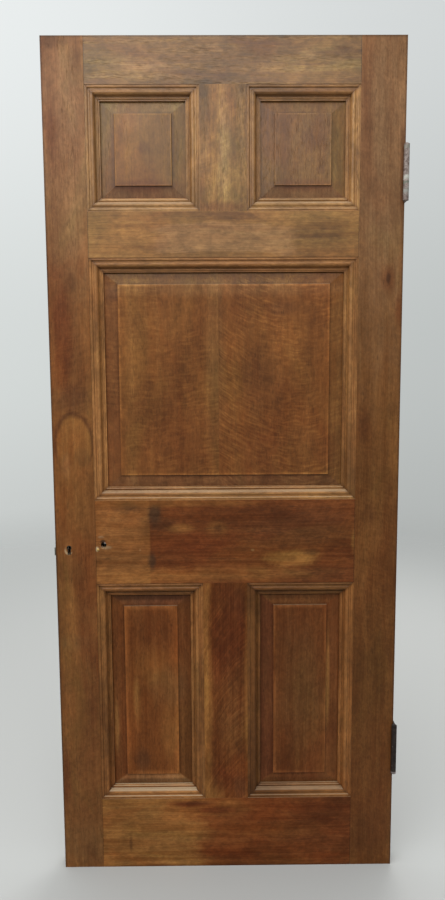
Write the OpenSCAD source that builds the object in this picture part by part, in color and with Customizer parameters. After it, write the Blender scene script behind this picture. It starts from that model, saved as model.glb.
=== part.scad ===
// Five-panel oak door leaf with planted mouldings, butt hinges and a horizontal mortice lock.
// Seen from the front: X to the right, Y to the back, Z up, origin at the middle of the bottom edge.

/* [Door leaf] */
// Width of the leaf
door_w = 840; // [790:1:900]
// Height of the leaf
door_h = 2032; // [1980:1:2100]
// Thickness of the leaf
door_t = 45; // [43:0.5:50]

/* [Framing] */
// Width of the lock stile, at the left
lock_stile_w = 98; // [90:1:115]
// Width of the hinge stile, at the right
hinge_stile_w = 105; // [90:1:120]
// Height of the top rail
top_rail_h = 106; // [98:1:125]
// Height of the frieze rail
frieze_rail_h = 105; // [90:1:125]
// Height of the lock rail
lock_rail_h = 208; // [198:1:240]
// Height of the bottom rail
bottom_rail_h = 186; // [165:1:220]
// Width of both muntins
muntin_w = 109; // [90:1:125]
// Height of the two top openings
top_opening_h = 283; // [250:1:320]
// Height of the two lower openings
lower_opening_h = 565; // [500:1:620]

/* [Joinery] */
// Depth of the panel grooves
groove_d = 12; // [10:0.5:14]
// Play on each face of a tongue or tenon
groove_clear = 0.2; // [0.1:0.05:0.3]
// Room at a panel's edges for the wood to move
panel_play = 0.8; // [0.5:0.1:2]
// Play above and below a tenon
tenon_clear = 0.1; // [0.05:0.05:0.3]
// Set-in of a tenon from the edge of its rail
tenon_inset = 16; // [15:1:20]
// Haunch above the top tenon and below the bottom one
end_haunch = 36; // [28:1:40]
// Space between the twin tenons of the bottom rail
twin_gap = 22; // [16:1:30]
// Wood between the lock plate and the tenons of the lock rail
lock_web = 10; // [8:1:14]
// Length of the stub tenons on the muntins
stub_l = 30; // [20:1:40]
// Length of a tenon wedge
wedge_l = 60; // [45:1:75]
// Thick end of a tenon wedge
wedge_thick = 5; // [3:0.5:6]
// Thin end of a tenon wedge
wedge_tip = 1; // [0.6:0.1:2]

/* [Panels] */
// Depth of the raised field below the face of the leaf
field_drop = 10; // [8:0.5:11]
// Square step round the raised field
field_step = 3; // [2:0.5:4]
// Fall of the bevelled margin, field to moulding
margin_fall = 4; // [2:0.5:5]
// Width of the margin at the sides
margin_side = 33; // [25:1:45]
// Width of the margin at the top and bottom
margin_end = 28; // [22:1:40]
// Recess of the flat back below the back of the leaf
back_recess = 16; // [13:0.5:18]

/* [Mouldings] */
// Width of the moulding
moulding_w = 32.5; // [31:0.5:38]
// Gap beside the outer bead
quirk_w = 1.4; // [1:0.1:2]
// Depth of that gap below the face of the frame
quirk_depth = 1.2; // [0.9:0.1:1.8]
// Radius of the outer bead
bead_r = 3; // [2.5:0.1:3.4]
// Radius of the large round
ovolo_r = 6.5; // [5.5:0.1:7.2]
// Groove between the outer bead and the large round
bead_gap = 1.5; // [1:0.1:2]
// Depth of that groove below the face of the frame
groove_depth = 3.2; // [2.8:0.1:4]
// Radius of the inner bead
inner_bead_r = 2.4; // [2:0.1:2.8]
// Flat beside the inner bead, at the panel
edge_flat = 2.5; // [1.5:0.1:3]
// Height of the inner flat above the panel
fillet_h = 5.2; // [4.5:0.1:6]
// Gap between the moulding and the panel
moulding_clear = 0.2; // [0.1:0.05:0.4]

/* [Hinges] */
// Height of a hinge
hinge_h = 127; // [120:1:152]
// Width of a leaf, from the face of the door
leaf_w = 34; // [30:1:38]
// Thickness of a leaf
leaf_t = 3; // [2.8:0.1:3.5]
// Diameter of the knuckles
knuckle_d = 13; // [12:0.5:15]
// Diameter of the pin
pin_d = 7; // [6:0.1:8]
// Diameter of the pin's head
pin_head_d = 10; // [9:0.5:11]
// Thickness of the pin's head
pin_head_t = 2.5; // [1.5:0.5:4]
// Gap between the closed leaves
leaf_gap = 2; // [1.5:0.1:3]
// Gap between neighbouring knuckles
knuckle_gap = 0.3; // [0.2:0.05:0.5]
// Running play of the pin, all round
pin_clear = 0.05; // [0.02:0.01:0.1]
// Play of the knuckles beside the door and the other leaf
knuckle_clear = 0.5; // [0.4:0.1:1]
// Top of the door to the top of the upper hinge
upper_hinge_drop = 241; // [200:1:260]
// Bottom of the door to the foot of the lower hinge
lower_hinge_rise = 254; // [230:1:300]
// Diameter of the screw holes
hinge_hole_d = 5.5; // [5.2:0.1:6]
// Diameter of the screw heads
hinge_head_d = 10; // [9:0.5:10.5]
// Diameter of the screw shanks
hinge_shank_d = 5; // [4.5:0.1:5.1]
// Length of the screws
hinge_screw_l = 32; // [25:1:40]
// Upright distance between the outer holes
outer_hole_span = 96; // [90:1:100]
// Upright distance between the inner holes
inner_hole_span = 36; // [30:1:44]
// Door leaf's outer holes behind the face of the door
outer_hole_set = 24; // [20:1:26]
// Door leaf's inner holes behind the face of the door
inner_hole_set = 11; // [9:1:13]

/* [Lock case] */
// Centre of the lock below the middle of the lock rail
lock_low = 12; // [4:1:16]
// Length of the case behind the lock plate
case_l = 147; // [142:1:160]
// Height of the case
case_h = 60; // [58:1:64]
// Thickness of the case with its cap
case_t = 16; // [15:0.5:18]
// Sheet of the case and cap
case_wall = 2; // [1.6:0.1:2.2]
// Play of the case in its mortice
lock_clear = 0.3; // [0.2:0.05:0.6]
// Height of the lock plate
forend_h = 84; // [80:1:90]
// Width of the lock plate
forend_w = 22; // [20:1:26]
// Thickness of the lock plate
forend_t = 3; // [2.5:0.1:4]
// Distance between the lock plate's screws
forend_span = 74; // [72:1:76]
// Diameter of the lock plate's screw heads
forend_head_d = 7; // [6:0.5:7.5]
// Diameter of the lock plate's screw shanks
forend_shank_d = 3.8; // [3.5:0.1:4]
// Length of the lock plate's screws
forend_screw_l = 24; // [18:1:30]
// Play around a screw in its hole
screw_clear = 0.05; // [0.03:0.01:0.1]
// Diameter of the posts that carry the cap
post_d = 5; // [4.6:0.1:5.4]
// Guide post of the dead bolt, from the door edge
post_set = 66; // [60:1:70]
// End post, in from the end of the case
end_post_in = 10; // [9:1:12]
// End post below the top of the case
end_post_drop = 11; // [9:1:13]
// Diameter of the cap screws
cap_screw_d = 2.5; // [2:0.1:3]
// Diameter of the cap screw heads
cap_head_d = 5; // [4:0.1:5.2]
// Length of the cap screws
cap_screw_l = 8; // [6:0.5:9]

/* [Latch and dead bolt] */
// Spindle axis from the door edge
spindle_set = 118; // [114:1:122]
// Spindle axis above the centre of the lock
spindle_rise = 6; // [5:0.5:7]
// Square socket for the spindle
spindle_sq = 8; // [7:0.1:8.5]
// Hole in the wood for the spindle
spindle_hole_d = 14; // [14:0.5:18]
// Radius of the follower where it turns in the case
boss_r = 7; // [6.5:0.1:7.2]
// Radius of the follower's collar
collar_r = 10; // [9:0.5:10.5]
// Thickness of the follower's collar and lug
collar_t = 6; // [5:0.5:8]
// Reach of the follower's lug from its axis
lug_r = 18; // [17:0.5:19]
// Width of the lug
lug_w = 6; // [5:0.5:7]
// Running play of the follower, all round
boss_clear = 0.05; // [0.02:0.01:0.1]
// Play between the lug and the latch tail
lug_gap = 0.3; // [0.2:0.05:0.5]
// How far the latch stands out of the door edge
latch_out = 7; // [5:0.5:9]
// Height of the latch and dead bolt heads
bolt_h = 20; // [18:0.5:21]
// Thickness of the bolt heads
bolt_t = 10; // [8:0.5:11]
// Play of the bolts in the lock plate
bolt_clear = 0.3; // [0.2:0.05:0.5]
// Blunt nose of the latch
latch_nose = 2; // [1:0.5:3]
// Length of the latch head inside the door edge
latch_in = 14; // [12:0.5:15]
// Centre of the latch below the centre of the lock
latch_low = 14; // [13:0.5:15]
// Thickness of the latch tail
tail_t = 6; // [5:0.5:7]
// Height of the latch tail
tail_h = 7; // [6:0.5:8]
// Height of the latch tail's upstand
upstand_h = 23; // [22:0.5:24]
// Width of the latch tail's upstand
upstand_w = 6; // [5:0.5:7]
// Mean radius of the latch spring
spring_r = 4.5; // [3.5:0.1:5]
// Wire of the latch spring
spring_wire = 1; // [0.8:0.1:1.2]
// Turns of the latch spring
spring_turns = 7; // [5:1:9]
// Centre of the dead bolt above the centre of the lock
dead_rise = 16; // [15.5:0.5:16.5]
// Set-in of the dead bolt behind the door edge
dead_set = 0.5; // [0:0.1:1]
// Length of the dead bolt's head
dead_head_l = 24; // [20:1:26]
// Length of the dead bolt with its tail
dead_l = 104; // [101:0.5:106]
// Height of the dead bolt's tail
dead_tail_h = 13; // [12:0.5:14]
// Thickness of the dead bolt's tail
dead_tail_t = 4; // [3:0.5:5]
// Throw of the dead bolt
dead_throw = 12; // [10:0.5:13]
// Width of the notch that the key turns in
talon_w = 11; // [9:0.5:13]
// Depth of the notch that the key turns in
talon_d = 3; // [2:0.5:3.5]
// Half length of the bow spring
bow_half = 26; // [22:0.5:28]
// Thickness of the bow spring
bow_t = 0.8; // [0.6:0.1:1]
// Gap at the bow spring's crown and feet
bow_clear = 0.1; // [0.05:0.05:0.2]

/* [Keyhole] */
// Key axis from the door edge
key_set = 33; // [30:1:36]
// Key axis below the centre of the lock
key_low = 1; // [0:0.5:3]
// Round part of the keyhole
key_d = 9; // [7:0.5:9.5]
// Width of the keyhole's slot
key_slot_w = 5; // [4.5:0.1:6]
// Reach of the slot below the key axis
key_slot_l = 15; // [12:0.5:17]
// Wall of the keyhole lining
lining_wall = 1.5; // [1:0.1:2]
// Depth of the keyhole lining
lining_d = 6; // [4:0.5:8]
// Left-over screw to the left of the spindle
rose_screw_left = 14; // [12:0.5:15]
// Left-over screw below the spindle
rose_screw_low = 12; // [10:0.5:16]
// Head of the left-over screw
rose_head_d = 7; // [5:0.5:8]
// Rise of its round head
rose_head_rise = 2; // [1:0.1:2.5]
// Shank of the left-over screw
rose_shank_d = 3.5; // [3:0.1:4]
// Length of the left-over screw in the wood
rose_screw_l = 11; // [8:0.5:12]

/* [Hidden] */
$fn = 48;
eps = 0.5;
oak = "#8a5a2e";
oak_light = "#9b6a3a";
oak_dark = "#6f4320";
iron = "#3a3632";
brass = "#b08d3e";
steel = "#77756f";

// Faces of the leaf, and the band in its thickness that tongues and tenons share
front_y = -door_t / 2;
back_y = door_t / 2;
rim_drop = field_drop + field_step + margin_fall;
tongue_y = [front_y + rim_drop, back_y - back_recess];
groove_y = [tongue_y[0] - groove_clear, tongue_y[1] + groove_clear];

// Upright layout: rails and openings
mid_opening_h = door_h - bottom_rail_h - lower_opening_h - lock_rail_h - frieze_rail_h
    - top_opening_h - top_rail_h;
lower_z = [bottom_rail_h, bottom_rail_h + lower_opening_h];
mid_z = [lower_z[1] + lock_rail_h, lower_z[1] + lock_rail_h + mid_opening_h];
top_z = [mid_z[1] + frieze_rail_h, mid_z[1] + frieze_rail_h + top_opening_h];

// Level layout: stiles and muntins
edge_x = door_w / 2;
inner_x = [-edge_x + lock_stile_w, edge_x - hinge_stile_w];
muntin_mid = (inner_x[0] + inner_x[1]) / 2;
muntin_x = [muntin_mid - muntin_w / 2, muntin_mid + muntin_w / 2];

// Each opening: name, [left, right], [bottom, top]
openings = [
    ["top_left", [inner_x[0], muntin_x[0]], top_z],
    ["top_right", [muntin_x[1], inner_x[1]], top_z],
    ["middle", inner_x, mid_z],
    ["lower_left", [inner_x[0], muntin_x[0]], lower_z],
    ["lower_right", [muntin_x[1], inner_x[1]], lower_z]
];
sides = ["bottom", "right", "top", "left"];

// Lock layout, from the door's left edge and the centre of the lock
lock_z = (lower_z[1] + mid_z[0]) / 2 - lock_low;
spindle_x = -edge_x + spindle_set;
spindle_z = lock_z + spindle_rise;
key_x = -edge_x + key_set;
key_z = lock_z - key_low;
case_x = [-edge_x + forend_t, -edge_x + forend_t + case_l];
case_z = [lock_z - case_h / 2, lock_z + case_h / 2];
case_y = [-case_t / 2, case_t / 2];
room_x = [case_x[0] + case_wall, case_x[1] - case_wall];
room_z = [case_z[0] + case_wall, case_z[1] - case_wall];
room_y = [case_y[0] + case_wall, case_y[1] - case_wall];
latch_z = [lock_z - latch_low - bolt_h / 2, lock_z - latch_low + bolt_h / 2];
dead_z = [lock_z + dead_rise - bolt_h / 2, lock_z + dead_rise + bolt_h / 2];
upstand_x = [spindle_x + lug_w / 2 + lug_gap, spindle_x + lug_w / 2 + lug_gap + upstand_w];
tail_z = room_z[0] + bolt_clear;
post_x = -edge_x + post_set;
post_z = dead_z[0] + dead_tail_h / 2;
posts = [[post_x, post_z], [case_x[1] - end_post_in, case_z[1] - end_post_drop]];

// Through tenons, each [bottom, top]
bottom_tenon_mid = (end_haunch + bottom_rail_h - tenon_inset) / 2;
bottom_tenons = [
    [end_haunch, bottom_tenon_mid - twin_gap / 2],
    [bottom_tenon_mid + twin_gap / 2, bottom_rail_h - tenon_inset]
];
lock_tenons = [
    [lower_z[1] + tenon_inset, lock_z - forend_h / 2 - lock_web],
    [lock_z + forend_h / 2 + lock_web, mid_z[0] - tenon_inset]
];
frieze_tenons = [[mid_z[1] + tenon_inset, top_z[0] - tenon_inset]];
top_tenons = [[top_z[1] + tenon_inset, door_h - end_haunch]];
tenons = concat(bottom_tenons, lock_tenons, frieze_tenons, top_tenons);

// Hinges: pin axis just in front of the face, and the foot of each hinge
pin_x = edge_x + leaf_gap / 2;
pin_y = front_y - knuckle_d / 2 - knuckle_clear;
lower_hinge_z = lower_hinge_rise;
upper_hinge_z = door_h - upper_hinge_drop - hinge_h;
knuckle_pitch = hinge_h / 5;
door_knuckles = [1, 3];
jamb_knuckles = [0, 2, 4];
// Screw holes of a leaf, each [behind the face, above the foot], from the sets of its outer and inner holes
function leaf_holes(outer_set, inner_set) = [
    for (up = [-1, 1]) [outer_set, hinge_h / 2 + up * outer_hole_span / 2],
    for (up = [-1, 1]) [inner_set, hinge_h / 2 + up * inner_hole_span / 2]
];
// The jamb leaf is staggered the other way, so that screw heads don't meet when the hinge is closed
door_holes = leaf_holes(outer_hole_set, inner_hole_set);
jamb_holes = leaf_holes(inner_hole_set, outer_hole_set);

// A box between two corners
module block(low, high) {
    translate(low) cube(high - low);
}

// Draws an outline in the plane of the door, X right and Z up, from y[0] to y[1]
module through(y) {
    translate([0, y[1], 0]) rotate([90, 0, 0]) linear_extrude(y[1] - y[0]) children();
}

// A countersunk wood screw along +Z, its head's flat at zero
module wood_screw(head_d, shank_d, length) {
    tip_l = 2 * shank_d;
    slot_w = head_d / 8;
    slot_d = (head_d - shank_d) / 5;
    difference() {
        union() {
            cylinder(h = (head_d - shank_d) / 2, d1 = head_d, d2 = shank_d);
            cylinder(h = length - tip_l, d = shank_d);
            translate([0, 0, length - tip_l]) cylinder(h = tip_l, d1 = shank_d, d2 = shank_d / 5);
        }
        translate([-head_d, -slot_w / 2, -eps]) cube([2 * head_d, slot_w, slot_d + eps]);
    }
}

// The hole for such a screw, its head let in flush
module screw_hole(head_d, hole_d, length) {
    translate([0, 0, -eps]) cylinder(h = length + eps, d = hole_d);
    cylinder(h = (head_d - hole_d) / 2 + screw_clear, d1 = head_d + 4 * screw_clear, d2 = hole_d);
    translate([0, 0, -eps]) cylinder(h = eps + screw_clear, d = head_d + 4 * screw_clear);
}

// Joinery

// Mortice through a stile for one tenon, flared at the outer edge for its wedges; from the edge inwards
module mortice_outline(tenon, stile_w) {
    half = (tenon[1] - tenon[0]) / 2 + tenon_clear;
    translate([0, (tenon[0] + tenon[1]) / 2]) polygon([
        [-eps, half + wedge_thick + eps * (wedge_thick - wedge_tip) / wedge_l],
        [wedge_l, half + wedge_tip],
        [wedge_l, half],
        [stile_w + eps, half],
        [stile_w + eps, -half],
        [wedge_l, -half],
        [wedge_l, -half - wedge_tip],
        [-eps, -half - wedge_thick - eps * (wedge_thick - wedge_tip) / wedge_l]
    ]);
}

// The two wedges of one tenon, from the edge inwards
module wedge_pair(tenon) {
    half = (tenon[1] - tenon[0]) / 2 + tenon_clear;
    for (up = [-1, 1]) through(tongue_y)
        translate([0, (tenon[0] + tenon[1]) / 2]) polygon([
            [0, up * half],
            [0, up * (half + wedge_thick)],
            [wedge_l, up * (half + wedge_tip)],
            [wedge_l, up * half]
        ]);
}

// A stile from its outer edge at x = 0 inwards, grooved for the panels and morticed for the rails
module stile(stile_w) {
    difference() {
        block([0, front_y, 0], [stile_w, back_y, door_h]);
        block([stile_w - groove_d, groove_y[0], -eps], [stile_w + eps, groove_y[1], door_h + eps]);
        for (t = tenons) through(groove_y) mortice_outline(t, stile_w);
    }
}

// Where the lock lies in the wood: mortice, recess for its plate, and the holes to it
module lock_seat() {
    low = [-lock_clear, -lock_clear, -lock_clear];
    block([-edge_x, case_y[0], case_z[0]] + low, [case_x[1], case_y[1], case_z[1]] - low);
    block(
        [-edge_x - eps, -forend_w / 2 - lock_clear, lock_z - forend_h / 2 - lock_clear],
        [-edge_x + forend_t, forend_w / 2 + lock_clear, lock_z + forend_h / 2 + lock_clear]);
    for (up = [-1, 1]) translate([-edge_x, 0, lock_z + up * forend_span / 2]) rotate([0, 90, 0])
        cylinder(h = forend_screw_l + screw_clear, d = forend_shank_d + 2 * screw_clear);
    through([front_y - eps, back_y + eps]) keyhole_outline(0);
    through([front_y - eps, front_y + lining_d]) keyhole_outline(lining_wall + screw_clear);
    through([front_y - eps, back_y + eps]) translate([spindle_x, spindle_z]) circle(d = spindle_hole_d);
}

// Keyhole outline, grown by a wall all round
module keyhole_outline(wall) {
    translate([key_x, key_z]) {
        circle(d = key_d + 2 * wall);
        translate([-key_slot_w / 2 - wall, -key_slot_l - wall])
            square([key_slot_w + 2 * wall, key_slot_l + wall]);
    }
}

module lock_stile() color(oak) difference() {
    translate([-edge_x, 0, 0]) stile(lock_stile_w);
    lock_seat();
}

module hinge_stile() color(oak) difference() {
    translate([edge_x, 0, 0]) mirror([1, 0, 0]) stile(hinge_stile_w);
    for (foot = [lower_hinge_z, upper_hinge_z]) {
        block(
            [edge_x - leaf_t, front_y - eps, foot - screw_clear],
            [edge_x + eps, front_y + leaf_w + screw_clear, foot + hinge_h + screw_clear]);
        at_hinge_holes(foot) cylinder(h = hinge_screw_l + screw_clear, d = hinge_shank_d + 2 * screw_clear);
    }
}

module lock_stile_wedges() color(oak_light)
    translate([-edge_x, 0, 0]) for (t = tenons) wedge_pair(t);

module hinge_stile_wedges() color(oak_light)
    translate([edge_x, 0, 0]) mirror([1, 0, 0]) for (t = tenons) wedge_pair(t);

// A rail between the stiles, with haunches and through tenons, and grooves and stub mortices where wanted
module rail(z, rail_tenons, groove_below, groove_above, stub_below, stub_above) {
    haunch_l = groove_d - groove_clear;
    stub_half = muntin_w / 2 - groove_d + tenon_clear;
    difference() {
        union() {
            block([inner_x[0], front_y, z[0]], [inner_x[1], back_y, z[1]]);
            block([inner_x[0] - haunch_l, tongue_y[0], z[0]], [inner_x[1] + haunch_l, tongue_y[1], z[1]]);
            for (t = rail_tenons) block([-edge_x, tongue_y[0], t[0]], [edge_x, tongue_y[1], t[1]]);
        }
        if (groove_below)
            block([-door_w, groove_y[0], z[0] - eps], [door_w, groove_y[1], z[0] + groove_d]);
        if (groove_above)
            block([-door_w, groove_y[0], z[1] - groove_d], [door_w, groove_y[1], z[1] + eps]);
        if (stub_below)
            block([muntin_mid - stub_half, groove_y[0], z[0] - eps],
                [muntin_mid + stub_half, groove_y[1], z[0] + stub_l + tenon_clear]);
        if (stub_above)
            block([muntin_mid - stub_half, groove_y[0], z[1] - stub_l - tenon_clear],
                [muntin_mid + stub_half, groove_y[1], z[1] + eps]);
    }
}

module top_rail() color(oak_light)
    rail([top_z[1], door_h], top_tenons, true, false, true, false);

module frieze_rail() color(oak_light)
    rail([mid_z[1], top_z[0]], frieze_tenons, true, true, false, true);

module lock_rail() color(oak) difference() {
    rail([lower_z[1], mid_z[0]], lock_tenons, true, true, true, false);
    lock_seat();
    at_rose_screw() cylinder(h = rose_screw_l + screw_clear, d = rose_shank_d + 2 * screw_clear);
}

module bottom_rail() color(oak_dark)
    rail([0, bottom_rail_h], bottom_tenons, false, true, false, true);

// A muntin between two rails, grooved on both edges, with a stub tenon at each end
module muntin(z) {
    stub_half = muntin_w / 2 - groove_d;
    difference() {
        union() {
            block([muntin_x[0], front_y, z[0]], [muntin_x[1], back_y, z[1]]);
            block([muntin_mid - stub_half, tongue_y[0], z[0] - stub_l],
                [muntin_mid + stub_half, tongue_y[1], z[1] + stub_l]);
        }
        for (side = [-1, 1]) {
            groove_mid = muntin_mid + side * muntin_w / 2;
            block(
                [groove_mid - groove_d, groove_y[0], z[0] - eps],
                [groove_mid + groove_d, groove_y[1], z[1] + eps]);
        }
    }
}

module upper_muntin() color(oak) muntin(top_z);

module lower_muntin() color(oak_dark) muntin(lower_z);

// Panels

// Section of a panel across its opening: tongues, bevelled margins, steps and the raised field
module panel_section(opening, margin) {
    tongue = groove_d - panel_play;
    low = opening[0] - tongue;
    high = opening[1] + tongue;
    bevel = moulding_w;
    field = moulding_w + margin;
    margin_y = front_y + field_drop + field_step;
    polygon([
        [low, tongue_y[1]],
        [low, tongue_y[0]],
        [opening[0] + bevel, tongue_y[0]],
        [opening[0] + field, margin_y],
        [opening[0] + field, front_y + field_drop],
        [opening[1] - field, front_y + field_drop],
        [opening[1] - field, margin_y],
        [opening[1] - bevel, tongue_y[0]],
        [high, tongue_y[0]],
        [high, tongue_y[1]]
    ]);
}

// The panel is what its level and upright sections share, so the margins mitre at the corners
module panel(opening) color(oak_light) {
    reach = 2 * groove_d;
    intersection() {
        translate([0, 0, opening[2][0] - reach])
            linear_extrude(opening[2][1] - opening[2][0] + 2 * reach)
                panel_section(opening[1], margin_side);
        translate([opening[1][0] - reach, 0, 0]) rotate([90, 0, 90])
            linear_extrude(opening[1][1] - opening[1][0] + 2 * reach)
                mirror([1, -1, 0]) panel_section(opening[2], margin_end);
    }
}

// Mouldings

// Section of the moulding: across from the frame to the panel, and up from the panel to the face
module moulding_section() {
    face_h = rim_drop - moulding_clear;
    bead_drop = 0.5;
    ovolo_drop = 1.5;
    inner_bead_sink = 0.6;
    slope_in = 0.4;
    slope_drop = 0.8;
    slope_run = 2;
    quirk_h = face_h - quirk_depth;
    groove_h = face_h - groove_depth;
    bead_u = quirk_w + bead_r;
    bead_h = face_h - bead_drop - bead_r;
    ovolo_u = bead_u + bead_r + bead_gap + ovolo_r;
    ovolo_h = face_h - ovolo_drop - ovolo_r;
    slope_u = ovolo_u + ovolo_r;
    inner_u = moulding_w - edge_flat - inner_bead_r;
    polygon([
        [0, 0],
        [moulding_w, 0],
        [moulding_w, fillet_h],
        [slope_u + slope_run, fillet_h],
        [slope_u - slope_in, ovolo_h - slope_drop],
        [ovolo_u, groove_h],
        [bead_u, groove_h],
        [bead_u, quirk_h],
        [0, quirk_h]
    ]);
    translate([bead_u, bead_h]) circle(bead_r);
    translate([ovolo_u, ovolo_h]) circle(ovolo_r);
    translate([inner_u, fillet_h - inner_bead_sink]) circle(inner_bead_r);
}

// One mitred length along +X, its outer edge on the X axis and its section rising to +Z
module moulding_length(length) {
    reach = rim_drop + eps;
    intersection() {
        rotate([0, -90, 180]) linear_extrude(length) moulding_section();
        through([-reach, reach]) polygon([
            [0, 0],
            [length, 0],
            [length - moulding_w - eps, moulding_w + eps],
            [moulding_w + eps, moulding_w + eps]
        ]);
    }
}

// The length on one side of an opening: 0 bottom, 1 right, 2 top, 3 left
module moulding(opening, side) color(oak) {
    x = opening[1];
    z = opening[2];
    start = [[x[0], z[0]], [x[1], z[0]], [x[1], z[1]], [x[0], z[1]]][side];
    length = side % 2 == 0 ? x[1] - x[0] : z[1] - z[0];
    translate([start[0], tongue_y[0] - moulding_clear, start[1]]) rotate([0, -90 * side, 0])
        moulding_length(length);
}

// Hinges

// Puts its children at each screw hole of the door leaf of one hinge, along -X
module at_hinge_holes(foot) {
    for (h = door_holes)
        translate([edge_x, front_y + h[0], foot + h[1]]) rotate([0, -90, 0]) children();
}

// A leaf: plate and knuckles, relieved round the other's knuckles; side -1 for the door, 1 for the jamb
module hinge_leaf(foot, side, own, other) {
    inner = pin_x + side * leaf_gap / 2;
    outer = inner + side * leaf_t;
    difference() {
        union() {
            block([min(inner, outer), pin_y, foot], [max(inner, outer), front_y + leaf_w, foot + hinge_h]);
            for (k = own) translate([pin_x, pin_y, foot + k * knuckle_pitch + knuckle_gap / 2])
                cylinder(h = knuckle_pitch - knuckle_gap, d = knuckle_d);
        }
        for (k = other) translate([pin_x, pin_y, foot + k * knuckle_pitch - knuckle_gap / 2])
            cylinder(h = knuckle_pitch + knuckle_gap, d = knuckle_d + 2 * knuckle_clear);
        translate([pin_x, pin_y, foot - eps]) cylinder(h = hinge_h + 2 * eps, d = pin_d + 2 * pin_clear);
        for (h = side < 0 ? door_holes : jamb_holes)
            translate([inner, front_y + h[0], foot + h[1]]) rotate([0, side * 90, 0])
                screw_hole(hinge_head_d, hinge_hole_d, leaf_t + eps);
    }
}

module hinge_pin(foot) color(iron) translate([pin_x, pin_y, foot]) {
    cylinder(h = hinge_h + pin_head_t / 2, d = pin_d);
    translate([0, 0, hinge_h]) cylinder(h = pin_head_t, d1 = pin_head_d, d2 = pin_head_d / 2);
}

module hinge_screws(foot) color(steel)
    at_hinge_holes(foot) wood_screw(hinge_head_d, hinge_shank_d, hinge_screw_l);

module upper_door_leaf() color(iron) hinge_leaf(upper_hinge_z, -1, door_knuckles, jamb_knuckles);

module upper_jamb_leaf() color(iron) hinge_leaf(upper_hinge_z, 1, jamb_knuckles, door_knuckles);

module upper_pin() hinge_pin(upper_hinge_z);

module upper_hinge_screws() hinge_screws(upper_hinge_z);

module lower_door_leaf() color(iron) hinge_leaf(lower_hinge_z, -1, door_knuckles, jamb_knuckles);

module lower_jamb_leaf() color(iron) hinge_leaf(lower_hinge_z, 1, jamb_knuckles, door_knuckles);

module lower_pin() hinge_pin(lower_hinge_z);

module lower_hinge_screws() hinge_screws(lower_hinge_z);

// Lock

// Passages of the two bolts through the lock plate and the front wall of the case
module bolt_passages() {
    for (z = [latch_z, dead_z]) block(
        [-edge_x - eps, -bolt_t / 2 - bolt_clear, z[0] - bolt_clear],
        [room_x[0] + eps, bolt_t / 2 + bolt_clear, z[1] + bolt_clear]);
}

// Puts its children at the lock plate's screws, along +X
module at_forend_screws() {
    for (up = [-1, 1])
        translate([-edge_x, 0, lock_z + up * forend_span / 2]) rotate([0, 90, 0]) children();
}

module forend() color(brass) difference() {
    block([-edge_x, -forend_w / 2, lock_z - forend_h / 2], [case_x[0], forend_w / 2, lock_z + forend_h / 2]);
    bolt_passages();
    at_forend_screws() screw_hole(forend_head_d, forend_shank_d + 2 * screw_clear, forend_t + eps);
}

module forend_screws() color(brass)
    at_forend_screws() wood_screw(forend_head_d, forend_shank_d, forend_screw_l);

// The case is a tray open to the front; posts carry the cap, and one guides the dead bolt
module lock_case() color(steel) difference() {
    union() {
        difference() {
            block([case_x[0], room_y[0], case_z[0]], [case_x[1], case_y[1], case_z[1]]);
            block([room_x[0], room_y[0] - eps, room_z[0]], [room_x[1], room_y[1], room_z[1]]);
        }
        for (p = posts) through([room_y[0], room_y[1] + eps]) translate(p) circle(d = post_d);
    }
    bolt_passages();
    through([room_y[0], case_y[1] + eps]) keyhole_outline(0);
    through([room_y[0], case_y[1] + eps]) translate([spindle_x, spindle_z]) circle(boss_r + boss_clear);
    at_cap_screws() cylinder(h = cap_screw_l + screw_clear, d = cap_screw_d + 2 * screw_clear);
}

module lock_cap() color(steel) difference() {
    block([case_x[0], case_y[0], case_z[0]], [case_x[1], room_y[0], case_z[1]]);
    through([case_y[0] - eps, room_y[0] + eps]) keyhole_outline(0);
    through([case_y[0] - eps, room_y[0] + eps]) translate([spindle_x, spindle_z]) circle(boss_r + boss_clear);
    at_cap_screws() screw_hole(cap_head_d, cap_screw_d + 2 * screw_clear, case_wall + eps);
}

// Puts its children at the cap screws, along +Y
module at_cap_screws() {
    for (p = posts) translate([p[0], case_y[0], p[1]]) rotate([-90, 0, 0]) children();
}

module cap_screws() color(steel) at_cap_screws() wood_screw(cap_head_d, cap_screw_d, cap_screw_l);

// Latch with a bevel on its back face, a low tail and an upstand that the follower's lug pushes
module latch_bolt() color(brass) {
    head_x = -edge_x + latch_in;
    translate([0, 0, latch_z[0]]) linear_extrude(bolt_h) polygon([
        [-edge_x - latch_out, -bolt_t / 2],
        [-edge_x - latch_out, -bolt_t / 2 + latch_nose],
        [-edge_x, bolt_t / 2],
        [head_x, bolt_t / 2],
        [head_x, -bolt_t / 2]
    ]);
    block([head_x - tail_h, -tail_t / 2, tail_z], [upstand_x[1], tail_t / 2, tail_z + tail_h]);
    block([upstand_x[0], -tail_t / 2, tail_z], [upstand_x[1], tail_t / 2, tail_z + upstand_h]);
}

// Points round the spring's wire at one place along its coil
spring_steps = 14;
spring_ring = 8;
spring_end_gap = 0.2;
spring_x = [upstand_x[1] + spring_end_gap + spring_wire / 2, room_x[1] - spring_end_gap - spring_wire / 2];
spring_z = tail_z + upstand_h / 2;
function coil_point(i, k) =
    let (
        turn = 360 * i / spring_steps,
        around = 360 * k / spring_ring,
        reach = spring_r + spring_wire / 2 * cos(around),
        along = spring_x[0] + (spring_x[1] - spring_x[0]) * i / (spring_turns * spring_steps)
    )
    [along + spring_wire / 2 * sin(around), reach * cos(turn), spring_z + reach * sin(turn)];

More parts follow.
